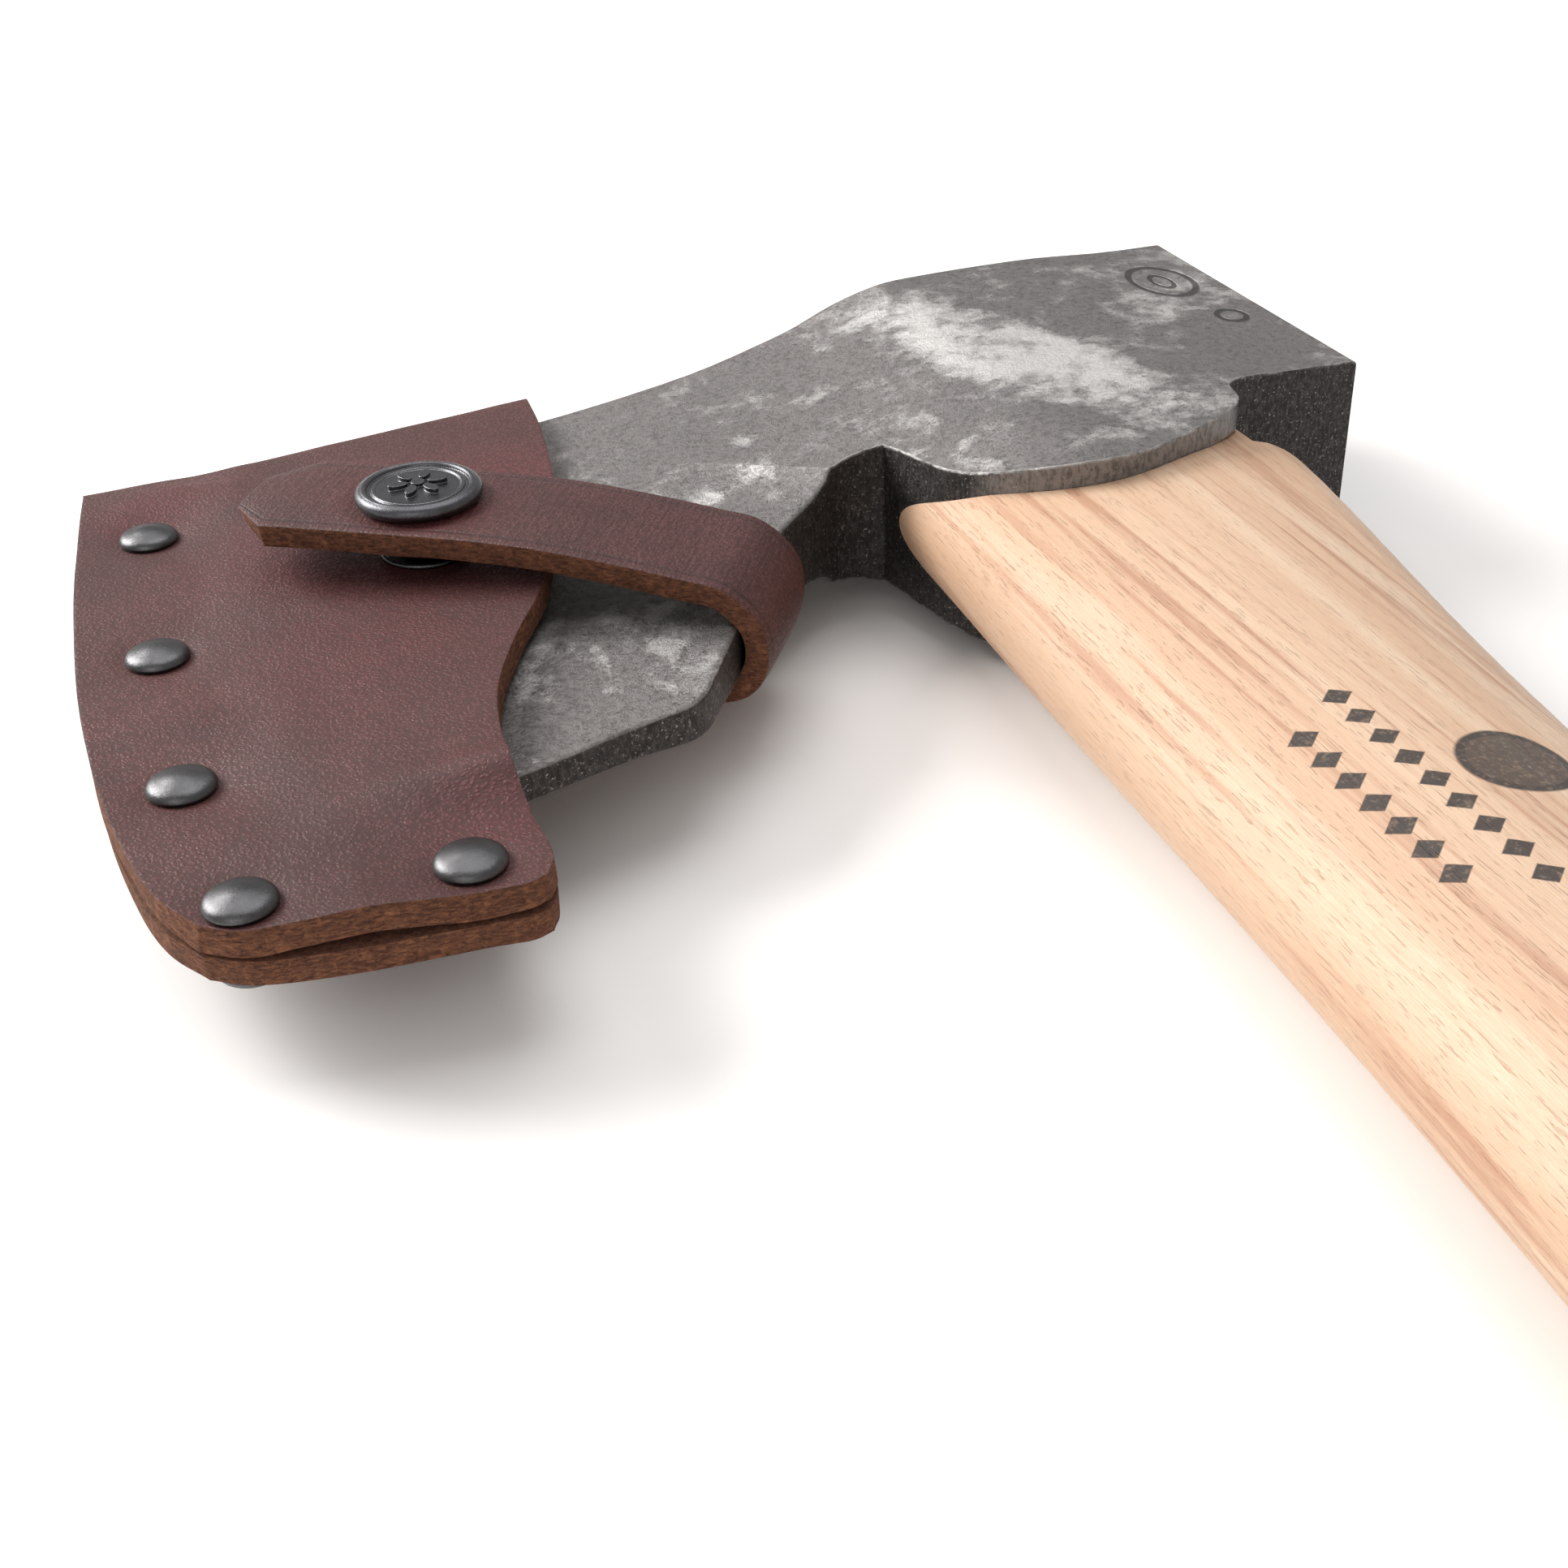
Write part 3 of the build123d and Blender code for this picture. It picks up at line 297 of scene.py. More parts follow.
# %% Group: soft patch
soft_patch, b, given, gives = new_group(
    "soft_patch",
    [
        ("Vector", "Vector", None),
        ("Middle", "Vector", (0, 0, 0)),
        ("Reach", "Vector", (10, 10, 10)),
        ("Rim", "Float", 0.0),
    ],
    [("Patch", "Float"), ("Distance", "Float")],
)
away = b.put("ShaderNodeVectorMath", operation="SUBTRACT")
b.feed(away.inputs[0], given["Vector"])
b.feed(away.inputs[1], given["Middle"])
share = b.put("ShaderNodeVectorMath", operation="DIVIDE")
b.feed(share.inputs[0], away.outputs[0])
b.feed(share.inputs[1], given["Reach"])
length = b.put("ShaderNodeVectorMath", operation="LENGTH")
b.feed(length.inputs[0], share.outputs[0])
b.feed(gives["Patch"], b.step(length.outputs["Value"], given["Rim"], 1.0, 1.0, 0.0))
b.feed(gives["Distance"], length.outputs["Value"])
print("group", soft_patch.name)


# %% [markdown]
# The head is forged and left with its dark scale. Where it was brushed, over the eye, and where it rubs, the
# scale has gone and pale steel shows. Its narrow sides keep the dark scale, speckled, with the lugs ground,
# and their colour is made darker still than the broad faces' scale: painted shade on the upright sides. The
# sharp edges round the two broad faces have worn to a bright line. The worn line is found with a Bevel
# node: where its rounded normal leaves the true one, there is an edge. Two marks are pressed in beside the
# poll; here they are plain rings.

# %% Finish: forged steel
forged_steel, b, shader = new_finish("forged_steel", metallic=1.0, specular=0.5)
mm = b.millimetres()
x, y, z = b.split(mm)
place = b.put("ShaderNodeTexCoord")
n_z = b.split(place.outputs["Normal"])[2]
flat_face = b.step(b.sum("ABSOLUTE", n_z), 0.45, 0.75)

wear = b.use(metal_wear, Vector=mm, Blotch=0.085, Pit=1.1, Scratch=1.0)
fine = b.use(metal_wear, Vector=b.stretch(mm, (1, 1, 1), (0, 0, 0.9)), Blotch=0.32, Pit=3.2, Scratch=2.2)
slanted = b.put("ShaderNodeCombineXYZ")
for socket, value in zip(slanted.inputs, (b.sum("MULTIPLY_ADD", y, 0.286, x), y, z)):
    b.feed(socket, value)
brushed = b.use(soft_patch, Vector=slanted.outputs[0], Middle=(1, 2, 28), Reach=(13.5, 40, 30), Rim=0.40)
bare = b.sum("MULTIPLY", brushed["Patch"], 0.66)
WORN_PLACES = [
    # middle, reach, rim and how bare: the poll, the neck, two places on the beard, and the lug
    ((28, 16, 14), (20, 26, 40), 0.1, 0.34),
    ((-36, 3, 22), (4.0, 3.6, 20), 0.2, 0.5),
    ((-45.5, -9, 20), (4, 5, 20), 0.2, 0.5),
    ((-68, -40, 14), (17, 15, 30), 0.0, 0.22),
    ((-2, -29.5, 28), (12, 4.5, 6), 0.1, 0.45),
]
for middle, reach, rim, share in WORN_PLACES:
    worn = b.use(soft_patch, Vector=mm, Middle=middle, Reach=reach, Rim=rim)
    bare = b.sum("ADD", bare, b.sum("MULTIPLY", worn["Patch"], share))
torn = b.sum("ADD", b.sum("MULTIPLY", wear["Blotches"], 0.55), b.sum("MULTIPLY", fine["Blotches"], 0.34))
torn = b.sum("ADD", torn, b.sum("MULTIPLY", fine["Pits"], 0.22))
bare = b.step(b.sum("ADD", bare, torn), 0.58, 1.42)

scale_tint = b.mix(wear["Pits"], (0.080, 0.074, 0.074), (0.200, 0.189, 0.185))
scale_tint = b.mix(b.sum("MULTIPLY", fine["Pits"], 0.5), scale_tint, (0.27, 0.255, 0.25))
flat_tint = b.mix(bare, scale_tint, (0.66, 0.645, 0.63))

side_lines = b.noise(b.stretch(mm, (1.0, 1.0, 0.45)), 1.9, 5.0, 0.7)
speckle = b.noise(mm, 2.6, 5.0, 0.75)
# painted shade: the upright sides' base colour is darker than the broad faces' scale; the speckle and the
# ground lug are real
side_scale_and_painted_shade = b.mix(b.step(side_lines, 0.40, 0.66), (0.042, 0.039, 0.038), (0.092, 0.086, 0.084))
side_scale_and_painted_shade = b.mix(b.step(speckle, 0.585, 0.65), side_scale_and_painted_shade, (0.40, 0.385, 0.37))
ground_lug = b.use(soft_patch, Vector=mm, Middle=(2, -31, 22), Reach=(23, 9, 16), Rim=0.7)
ground = b.sum("MULTIPLY", ground_lug["Patch"], b.step(side_lines, 0.36, 0.56, 0.45, 1.0))
side_scale_and_painted_shade = b.mix(ground, side_scale_and_painted_shade, (0.30, 0.285, 0.275))
tint = b.mix(flat_face, side_scale_and_painted_shade, flat_tint)

round_edge = b.put("ShaderNodeBevel", samples=4)
round_edge.inputs["Radius"].default_value = 0.55 * MM
geometry = b.put("ShaderNodeNewGeometry")
same_way = b.put("ShaderNodeVectorMath", operation="DOT_PRODUCT")
b.feed(same_way.inputs[0], round_edge.outputs[0])
b.feed(same_way.inputs[1], geometry.outputs["Normal"])
edge = b.step(same_way.outputs["Value"], 0.90, 0.995, 1.0, 0.0)
# only the edges round the two broad faces are worn, and an upright corner stays dark
level_edge = b.step(b.sum("ABSOLUTE", b.split(round_edge.outputs[0])[2]), 0.15, 0.40)
edge = b.sum("MULTIPLY", edge, level_edge)
edge = b.sum("MULTIPLY", edge, b.step(b.noise(mm, 0.35, 5.0, 0.7), 0.38, 0.60))
tint = b.mix(b.sum("MULTIPLY", edge, 0.85), tint, (0.68, 0.66, 0.64))

RINGS = [
    # middle, reach, and the inner and outer rims as pairs of shares of the reach
    ((33.0, 19.5, 28), (4.6, 7.0, 60), (0.80, 0.87), (0.98, 1.05)),
    ((33.0, 19.5, 28), (1.6, 3.2, 60), (0.62, 0.74), (0.95, 1.08)),
    ((35.0, 3.0, 28), (2.2, 2.8, 60), (0.60, 0.75), (0.95, 1.10)),
]
ring_line = 0.0
for middle, reach, inner_rim, outer_rim in RINGS:
    away = b.use(soft_patch, Vector=mm, Middle=middle, Reach=reach, Rim=0.0)["Distance"]
    line = b.sum("MULTIPLY", b.step(away, *inner_rim), b.step(away, *outer_rim, 1.0, 0.0))
    ring_line = b.sum("MAXIMUM", ring_line, line)
pressed = b.sum("MULTIPLY", ring_line, b.step(z, 20.0, 22.0))
tint = b.mix(b.sum("MULTIPLY", pressed, 0.8), tint, (0.03, 0.028, 0.028))
b.feed(shader["Base Color"], tint)

rough = b.sum("ADD", b.sum("MULTIPLY", fine["Pits"], 0.16), 0.34)
rough = b.sum("ADD", rough, b.sum("MULTIPLY", wear["Blotches"], -0.06))
rough = b.sum("ADD", rough, b.sum("MULTIPLY", b.sum("SUBTRACT", 1.0, flat_face), 0.08))
b.feed(shader["Roughness"], b.sum("SUBTRACT", rough, b.sum("MULTIPLY", edge, 0.08)))
relief = b.sum("ADD", b.sum("MULTIPLY", wear["Pits"], 0.5), b.sum("MULTIPLY", fine["Pits"], 0.35))
relief = b.sum("ADD", relief, b.sum("MULTIPLY", side_lines, b.sum("SUBTRACT", 1.0, flat_face)))
relief = b.sum("SUBTRACT", relief, b.sum("MULTIPLY", pressed, 2.5))
b.feed(shader["Normal"], b.bump(relief, 0.085, round_edge.outputs[0]))
dress(nodes["axe_head"], forged_steel)
print("forged steel has", len(forged_steel.node_tree.nodes), "nodes")


# %% [markdown]
# The handle is pale ash-like hickory, oiled and left bare. Its growth rings run along it as wide bands of
# cream and reddish brown, with fine fibres and short dark pores that follow the same way. Stretching one
# noise along Y makes each of them. A plain oval and two rows of small diamonds are burned in.

# %% Group: wood fibre
wood_fibre, b, given, gives = new_group(
    "wood_fibre",
    [("Vector", "Vector", None), ("Bands", "Float", 1.0), ("Fibre", "Float", 1.0)],
    [("Band", "Float"), ("Streak", "Float"), ("Pore", "Float"), ("Fibre", "Float")],
)
drift = b.noise(b.stretch(given["Vector"], (0.02, 0.006, 0.02)), 1.0, 2.0, 0.5)
bent = b.put("ShaderNodeVectorMath", operation="ADD")
b.feed(bent.inputs[0], b.stretch(given["Vector"], (0.115, 0.0048, 0.08)))
shift = b.put("ShaderNodeCombineXYZ")
b.feed(shift.inputs[0], b.sum("MULTIPLY", drift, 2.2))
b.feed(bent.inputs[1], shift.outputs[0])
b.feed(gives["Band"], b.noise(bent.outputs[0], given["Bands"], 3.0, 0.55, 0.25))
streak = b.noise(b.stretch(given["Vector"], (0.52, 0.010, 0.36)), given["Bands"], 4.0, 0.6)
b.feed(gives["Streak"], streak)
pore = b.noise(b.stretch(given["Vector"], (5.2, 0.26, 5.2)), given["Fibre"], 2.0, 0.6)
b.feed(gives["Pore"], b.step(pore, 0.60, 0.70))
b.feed(gives["Fibre"], b.noise(b.stretch(given["Vector"], (7.0, 0.09, 7.0)), given["Fibre"], 4.0, 0.7))
print("group", wood_fibre.name)


# %% Finish: hickory
def wood_finish(name, pale, warm, brown, bands, with_mark):
    """Oiled wood with the fibres along Y. End faces show the fibres' ends as dots."""
    material, b, shader = new_finish(name, roughness=0.45, specular=0.4)
    mm = b.millimetres()
    x, y, z = b.split(mm)
    grain = b.use(wood_fibre, Vector=mm, Bands=bands, Fibre=1.0)
    tint = b.mix(b.step(grain["Band"], 0.36, 0.62), pale, warm)
    tint = b.mix(b.sum("MULTIPLY", b.step(grain["Streak"], 0.50, 0.66), 0.80), tint, brown)
    tint = b.mix(b.sum("MULTIPLY", b.step(grain["Fibre"], 0.40, 0.66), 0.30), tint, brown)
    tint = b.mix(b.sum("MULTIPLY", grain["Pore"], 0.30), tint, tuple(v * 0.62 for v in brown))
    light = b.step(grain["Fibre"], 0.56, 0.72)
    tint = b.mix(b.sum("MULTIPLY", light, 0.34), tint, (0.80, 0.66, 0.49))
    # a little darker and more orange where the forging meets the wood, and a darker orange band along the
    # rounded front edge, which is painted shade
    near_lug = b.step(y, -60.0, -30.0)
    front_edge_painted_shade = b.step(x, -20.5, -12.0, 1.0, 0.0)
    lug_tone_and_edge_shade = b.sum("ADD", b.sum("MULTIPLY", near_lug, 0.15), b.sum("MULTIPLY", front_edge_painted_shade, 0.13))
    tint = b.mix(lug_tone_and_edge_shade, tint, (0.56, 0.32, 0.18))
    height = b.sum("SUBTRACT", grain["Fibre"], b.sum("MULTIPLY", grain["Pore"], 0.8))
    if with_mark:
        # one plain oval with rows of small diamonds beside it, burned in
        diamond_pitch, diamond_wide = 4.0, 4.4
        oval = b.use(soft_patch, Vector=mm, Middle=(2.0, -106.0, 26), Reach=(5.6, 5.6, 60), Rim=0.0)
        burned = b.step(oval["Distance"], 0.94, 1.02, 1.0, 0.0)
        inner = b.step(oval["Distance"], 0.72, 0.82)
        burned = b.sum("MULTIPLY", burned, b.sum("MAXIMUM", 0.93, inner))
        for row_x, start_y, end_y in ((-6.6, -124.0, -88.0), (-12.6, -120.0, -92.0)):
            along = b.sum("MULTIPLY", b.sum("ADD", y, 200.0), 1 / diamond_pitch)
            along = b.sum("ABSOLUTE", b.sum("SUBTRACT", b.sum("FRACT", along), 0.5))
            across = b.sum("MULTIPLY", b.sum("ABSOLUTE", b.sum("SUBTRACT", x, row_x)), 1 / diamond_wide)
            diamond = b.step(b.sum("ADD", along, across), 0.34, 0.40, 1.0, 0.0)
            started = b.step(y, start_y, start_y + 0.3)
            kept = b.sum("MULTIPLY", started, b.step(y, end_y, end_y + 0.3, 1.0, 0.0))
            burned = b.sum("MAXIMUM", burned, b.sum("MULTIPLY", diamond, kept))
        burned = b.sum("MULTIPLY", burned, b.step(z, 18.0, 20.0))
        patchy = b.step(b.noise(mm, 1.6, 4.0, 0.7), 0.28, 0.52, 0.74, 0.97)
        tint = b.mix(b.sum("MULTIPLY", burned, patchy), tint, (0.030, 0.024, 0.022))
        height = b.sum("SUBTRACT", height, b.sum("MULTIPLY", burned, 1.2))
    b.feed(shader["Base Color"], tint)
    b.feed(shader["Roughness"], b.step(grain["Fibre"], 0.3, 0.7, 0.40, 0.56))
    b.feed(shader["Normal"], b.bump(height, 0.06))
    return material


hickory = wood_finish("hickory", (0.68, 0.515, 0.375), (0.60, 0.405, 0.275), (0.40, 0.205, 0.128), 1.0, True)
wedge_wood = wood_finish("wedge_wood", (0.62, 0.42, 0.26), (0.52, 0.31, 0.17), (0.30, 0.14, 0.07), 1.6, False)
dress(nodes["handle"], hickory)
dress(nodes["eye_wedge"], wedge_wood)
print("wood finishes ready")


# %% [markdown]
# The caps, the stud and the rivets are steel with a dark, smoky plating. It is smooth, so most of its look is
# reflection, broken by a faint mottle, and it has rubbed through a little on raised rims.

# %% Finish: dark plated metal
def plated_finish(name, tint, roughness, rub):
    """Dark plating. rub is how bright the worn rims are."""
    material, b, shader = new_finish(name, metallic=1.0)
    mm = b.millimetres()
    wear = b.use(metal_wear, Vector=mm, Blotch=0.7, Pit=4.5, Scratch=3.0)
    colour = b.mix(b.sum("MULTIPLY", wear["Blotches"], 0.4), tint, tuple(v * 1.5 for v in tint))
    colour = b.mix(b.sum("MULTIPLY", wear["Scratches"], 0.30), colour, tuple(min(1.0, v * 2.6) for v in tint))
    soft = b.put("ShaderNodeBevel", samples=4)
    soft.inputs["Radius"].default_value = 0.16 * MM
    geometry = b.put("ShaderNodeNewGeometry")
    same_way = b.put("ShaderNodeVectorMath", operation="DOT_PRODUCT")
    b.feed(same_way.inputs[0], soft.outputs[0])
    b.feed(same_way.inputs[1], geometry.outputs["Normal"])
    rim = b.step(same_way.outputs["Value"], 0.92, 0.998, 1.0, 0.0)
    colour = b.mix(b.sum("MULTIPLY", rim, rub), colour, (0.55, 0.55, 0.56))
    b.feed(shader["Base Color"], colour)
    b.feed(shader["Roughness"], b.sum("ADD", b.sum("MULTIPLY", wear["Pits"], 0.10), roughness))
    b.feed(shader["Normal"], b.bump(wear["Pits"], 0.006, soft.outputs[0]))
    return material


rivet_metal = plated_finish("rivet_metal", (0.085, 0.084, 0.087), 0.27, 0.20)
snap_metal = plated_finish("snap_metal", (0.085, 0.085, 0.092), 0.25, 0.30)
spring_steel = plated_finish("spring_steel", (0.55, 0.55, 0.56), 0.25, 0.1)
for name in ("seam_rivet_caps", "seam_rivet_bases", "strap_rivet_caps", "strap_rivet_posts"):
    dress(nodes[name], rivet_metal)
for name in ("snap_cap", "snap_socket", "snap_stud", "snap_stud_post"):
    dress(nodes[name], snap_metal)
dress(nodes["snap_spring"], spring_steel)
print("plated finishes ready")


# %% [markdown]
# Vegetable-tanned leather has three faces: the dark waxed grain side, the rough flesh side, and the cut edge,
# where the bare fibres show tan. The grain is a field of tiny pebbles, made from rounded cells that a
# second noise pushes about, with fine creases between larger islands.

# %% Group: leather grain
leather_grain, b, given, gives = new_group(
    "leather_grain",
    [("Vector", "Vector", None), ("Pebble", "Float", 1.5), ("Crease", "Float", 0.35)],
    [("Height", "Float"), ("Pebbles", "Float"), ("Tone", "Float")],
)
push = b.put("ShaderNodeTexNoise")
b.feed(push.inputs["Vector"], given["Vector"])
b.feed(push.inputs["Scale"], 1.1)
b.feed(push.inputs["Detail"], 3.0)
pushed = b.put("ShaderNodeVectorMath", operation="MULTIPLY_ADD")
b.feed(pushed.inputs[0], push.outputs["Color"])
pushed.inputs[1].default_value = (0.7, 0.7, 0.7)
b.feed(pushed.inputs[2], given["Vector"])
pebble = b.cells(pushed.outputs[0], given["Pebble"], "SMOOTH_F1", 0.6)
dome = b.step(pebble, 0.05, 0.62, 1.0, 0.0)
island = b.noise(pushed.outputs[0], given["Crease"], 6.0, 0.6, 0.6)
crease = b.step(b.sum("ABSOLUTE", b.sum("SUBTRACT", island, 0.5)), 0.0, 0.05)
fine = b.noise(given["Vector"], 3.4, 4.0, 0.65)
height = b.sum("ADD", b.sum("MULTIPLY", dome, 0.62), b.sum("MULTIPLY", fine, 0.42))
height = b.sum("ADD", height, b.sum("MULTIPLY", crease, 0.16))
b.feed(gives["Height"], height)
b.feed(gives["Pebbles"], dome)
b.feed(gives["Tone"], b.noise(given["Vector"], 0.055, 5.0, 0.6, 0.2))
print("group", leather_grain.name)


# %% Finishes: grain side, flesh side and cut edge
def grain_side(name, dark, red, red_spots, from_uv=None, wrinkle=0.0):
    """The waxed side. from_uv is the size of the piece's own map in millimetres, for a piece that bends."""
    material, b, shader = new_finish(name, roughness=0.5, specular=0.34)
    if from_uv:
        place = b.put("ShaderNodeUVMap", uv_map="leather")
        mm = b.stretch(place.outputs["UV"], (*from_uv, 1.0))
    else:
        mm = b.millimetres()
    x, y, z = b.split(mm)
    skin = b.use(leather_grain, Vector=mm, Pebble=2.3, Crease=0.42)
    tint = b.mix(b.step(skin["Tone"], 0.34, 0.66), dark, tuple(v * 1.45 for v in dark))
    for middle, reach, share in red_spots:
        spot = b.use(soft_patch, Vector=mm, Middle=middle, Reach=reach, Rim=0.1)
        tint = b.mix(b.sum("MULTIPLY", spot["Patch"], share), tint, red)
    by_tone = b.step(skin["Tone"], 0.30, 0.70, 0.05, 0.20)
    rubbed = b.sum("MULTIPLY", b.step(skin["Pebbles"], 0.5, 1.0), by_tone)
    tint = b.mix(rubbed, tint, (0.165, 0.078, 0.066))
    tint = b.mix(b.step(skin["Pebbles"], 0.0, 0.35, 0.45, 0.0), tint, tuple(v * 0.4 for v in dark))
    height = skin["Height"]
    if wrinkle > 0:
        across = b.noise(b.stretch(mm, (1.5, 0.22, 1.0)), 1.0, 4.0, 0.62)
        height = b.sum("ADD", height, b.sum("MULTIPLY", b.step(across, 0.42, 0.60), wrinkle))
        tint = b.mix(b.step(across, 0.30, 0.46, 0.30, 0.0), tint, tuple(v * 0.4 for v in dark))
        # a line is pressed in along each long edge
        half, groove_in = from_uv[1] / 2, 1.5
        from_middle = b.sum("ABSOLUTE", b.sum("SUBTRACT", y, half))
        crease_line = b.sum("ABSOLUTE", b.sum("SUBTRACT", from_middle, half - groove_in))
        groove = b.step(crease_line, 0.10, 0.42)
        height = b.sum("ADD", height, b.sum("MULTIPLY", groove, 0.7))
        in_groove = b.sum("SUBTRACT", 0.5, b.sum("MULTIPLY", groove, 0.5))
        tint = b.mix(in_groove, tint, tuple(v * 0.35 for v in dark))
    b.feed(shader["Base Color"], tint)
    rough = b.step(skin["Pebbles"], 0.1, 0.9, 0.54, 0.36)
    b.feed(shader["Roughness"], b.sum("ADD", rough, b.step(skin["Tone"], 0.3, 0.7, 0.05, -0.04)))
    b.feed(shader["Normal"], b.bump(height, 0.075))
    return material


def raw_side(name, tan, brown, fibre_scale, depth):
    """Bare fibres: the flesh side, or the cut edge with its fibres lying along the sheet."""
    material, b, shader = new_finish(name, roughness=0.9, specular=0.25)
    mm = b.millimetres()
    matted = b.noise(b.stretch(mm, fibre_scale), 1.0, 6.0, 0.72, 0.8)
    tufts = b.noise(mm, 0.9, 5.0, 0.7, 0.3)
    tint = b.mix(b.step(matted, 0.34, 0.66), brown, tan)
    tint = b.mix(b.step(tufts, 0.50, 0.72, 0.0, 0.75), tint, tuple(min(1.0, v * 1.45) for v in tan))
    tint = b.mix(b.step(tufts, 0.26, 0.44, 0.7, 0.0), tint, tuple(v * 0.45 for v in brown))
    b.feed(shader["Base Color"], tint)
    b.feed(shader["Normal"], b.bump(b.sum("ADD", matted, b.sum("MULTIPLY", tufts, 0.8)), depth))
    return material


BURGUNDY = (0.064, 0.0215, 0.0200)
WINE = (0.110, 0.012, 0.017)
cover_spots = [
    ((-80, -2, 18), (34, 22, 30), 0.75),
    ((-111, 17, 17), (12, 10, 30), 0.55),
    ((-96, -34, 17), (20, 22, 30), 0.22),
    ((-84, -68, 17), (12, 9, 30), 0.40),
]
cover_grain = grain_side("cover_leather_grain", BURGUNDY, WINE, cover_spots)
raw_edge = raw_side("leather_cut_edge", (0.27, 0.112, 0.058), (0.075, 0.027, 0.017), (1.0, 1.0, 3.6), 0.55)
flesh = raw_side("leather_flesh", (0.20, 0.095, 0.060), (0.105, 0.045, 0.030), (1.6, 1.6, 1.6), 0.25)
print("leather finishes ready")


# %% [markdown]
# The cover is one piece of leather, folded along the top of the head and riveted round the cutting edge.
# A block would look like a block, so it is made as a sheet: a fine grid, laid point by point over the blade,
# then given its thickness. Its outline comes from four smooth edges, and the grid is spread between them as a
# cloth is stretched on a frame, which keeps its rows parallel to the edges.

# %% Smooth edges and the spread between them
def smooth_line(points, count, crowd=0.0):
    """count points on a smooth curve through points, even along its length, or crowded towards both ends."""
    p = np.array(points, float)
    padded = np.vstack([2 * p[0] - p[1], p, 2 * p[-1] - p[-2]])
    fine = []
    for i in range(len(p) - 1):
        a, b, c, d = padded[i:i + 4]
        t = np.linspace(0, 1, 40, endpoint=False)[:, None]
        square = (2 * a - 5 * b + 4 * c - d) * t ** 2
        cube = (3 * b - a - 3 * c + d) * t ** 3
        fine.append(0.5 * (2 * b + (c - a) * t + square + cube))
    fine = np.vstack([*fine, p[-1:]])
    run = np.concatenate([[0], np.cumsum(np.linalg.norm(np.diff(fine, axis=0), axis=1))])
    share = np.linspace(0, 1, count)
    share = (1 - crowd) * share + crowd * (0.5 - 0.5 * np.cos(math.pi * share))
    return np.column_stack([np.interp(share * run[-1], run, fine[:, k]) for k in range(p.shape[1])])


def spread(left, right, top, bottom):
    """A grid of points between four edges: rows run from left to right, from top down."""
    rows, columns = len(left), len(top)
    s = np.linspace(0, 1, rows)[:, None, None]
    u = np.linspace(0, 1, columns)[None, :, None]
    across = (1 - u) * left[:, None] + u * right[:, None]
    down = (1 - s) * top[None] + s * bottom[None]
    corners = (1 - s) * ((1 - u) * top[0] + u * top[-1]) + s * ((1 - u) * bottom[0] + u * bottom[-1])
    return across + down - corners


cover_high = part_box("blade_cover")[1]
head_low, head_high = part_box("axe_head")
MIDDLE = (head_low.z + head_high.z) / 2 / MM
FOLD = cover_high.y / MM
LEATHER = 2.8
FOLD_ROUND = 3.0
left_edge = [
    (-119.0, FOLD - FOLD_ROUND), (-120.4, 12), (-121.6, -6), (-122.2, -28),
    (-121.3, -47), (-119.4, -61), (-117.2, -69.5), (-113.9, -75.4),
]
low_edge = [
    (-113.9, -75.4), (-110.4, -77.6), (-105, -78.7), (-96, -79.5),
    (-88, -80.0), (-84.6, -80.2), (-82.5, -79.4),
]
mouth_edge = [
    (-59.6, FOLD - FOLD_ROUND), (-60.1, 17), (-61.4, 6), (-63.2, -4), (-66.4, -16), (-70.6, -28),
    (-76.0, -38), (-80.1, -48), (-81.7, -58), (-81.6, -68), (-81.2, -76), (-82.5, -79.4),
]
COLUMNS, ROWS = 112, 150
panel = spread(
    smooth_line(left_edge, ROWS),
    smooth_line(mouth_edge, ROWS),
    smooth_line([left_edge[0], mouth_edge[0]], COLUMNS),
    smooth_line(low_edge, COLUMNS),
)
print("panel grid", panel.shape, "width", round(float(np.ptp(panel[..., 0])), 1), "mm")


# %% [markdown]
# How far the leather stands off the middle plane is one function of place. It follows the blade's taper with
# the leather's own thickness on top, falls to the riveted seam in a soft drape, puckers up between rivets and
# dips under each cap, shows a crease where the heel of the blade presses from inside, and is pressed
# flat under the stud. The rivets' places are read from their CAD nodes.

# %% The drape of the leather
def solid_middles(node, size):
    """The middles of a node's separate solids. Vertices within size of a solid's first one belong to it."""
    spots = []
    for vertex in nodes[node].data.vertices:
        place = Vector(vertex.co) / MM
        for spot in spots:
            if (spot[0] - place).xy.length < size:
                spot[1].append(place)
                break
        else:
            spots.append([place, [place]])
    middles = []
    for _, group in spots:
        low = Vector(min(v[k] for v in group) for k in range(3))
        high = Vector(max(v[k] for v in group) for k in range(3))
        middles.append((low + high) / 2)
    return middles


rivets = solid_middles("seam_rivet_caps", 9.0)
stud_low, stud_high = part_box("snap_stud")
stud = (stud_low + stud_high) / 2 / MM
STUD_SEAT = stud_low.z / MM - MIDDLE
EDGE_X, EDGE_Y, EDGE_RADIUS = -107.5, -20.4, 210.0
BLADE_HALF, BLADE_FALL, MOUTH_X, PLAY = 4.4, 0.0827, -60.0, 0.35
SEAM = LEATHER + 0.2


def ease(value, low, high):
    t = np.clip((value - low) / (high - low), 0, 1)
    return t * t * (3 - 2 * t)


def hump(x, y, middle, reach):
    return np.exp(-(((x - middle[0]) / reach[0]) ** 2 + ((y - middle[1]) / reach[1]) ** 2))


def wander(x, y, size, seed):
    """A smooth random surface between about -1 and 1, the same each time."""
    flat = [noise.noise(Vector((a / size, b / size, seed))) for a, b in zip(x.ravel(), y.ravel())]
    return np.array(flat).reshape(x.shape)


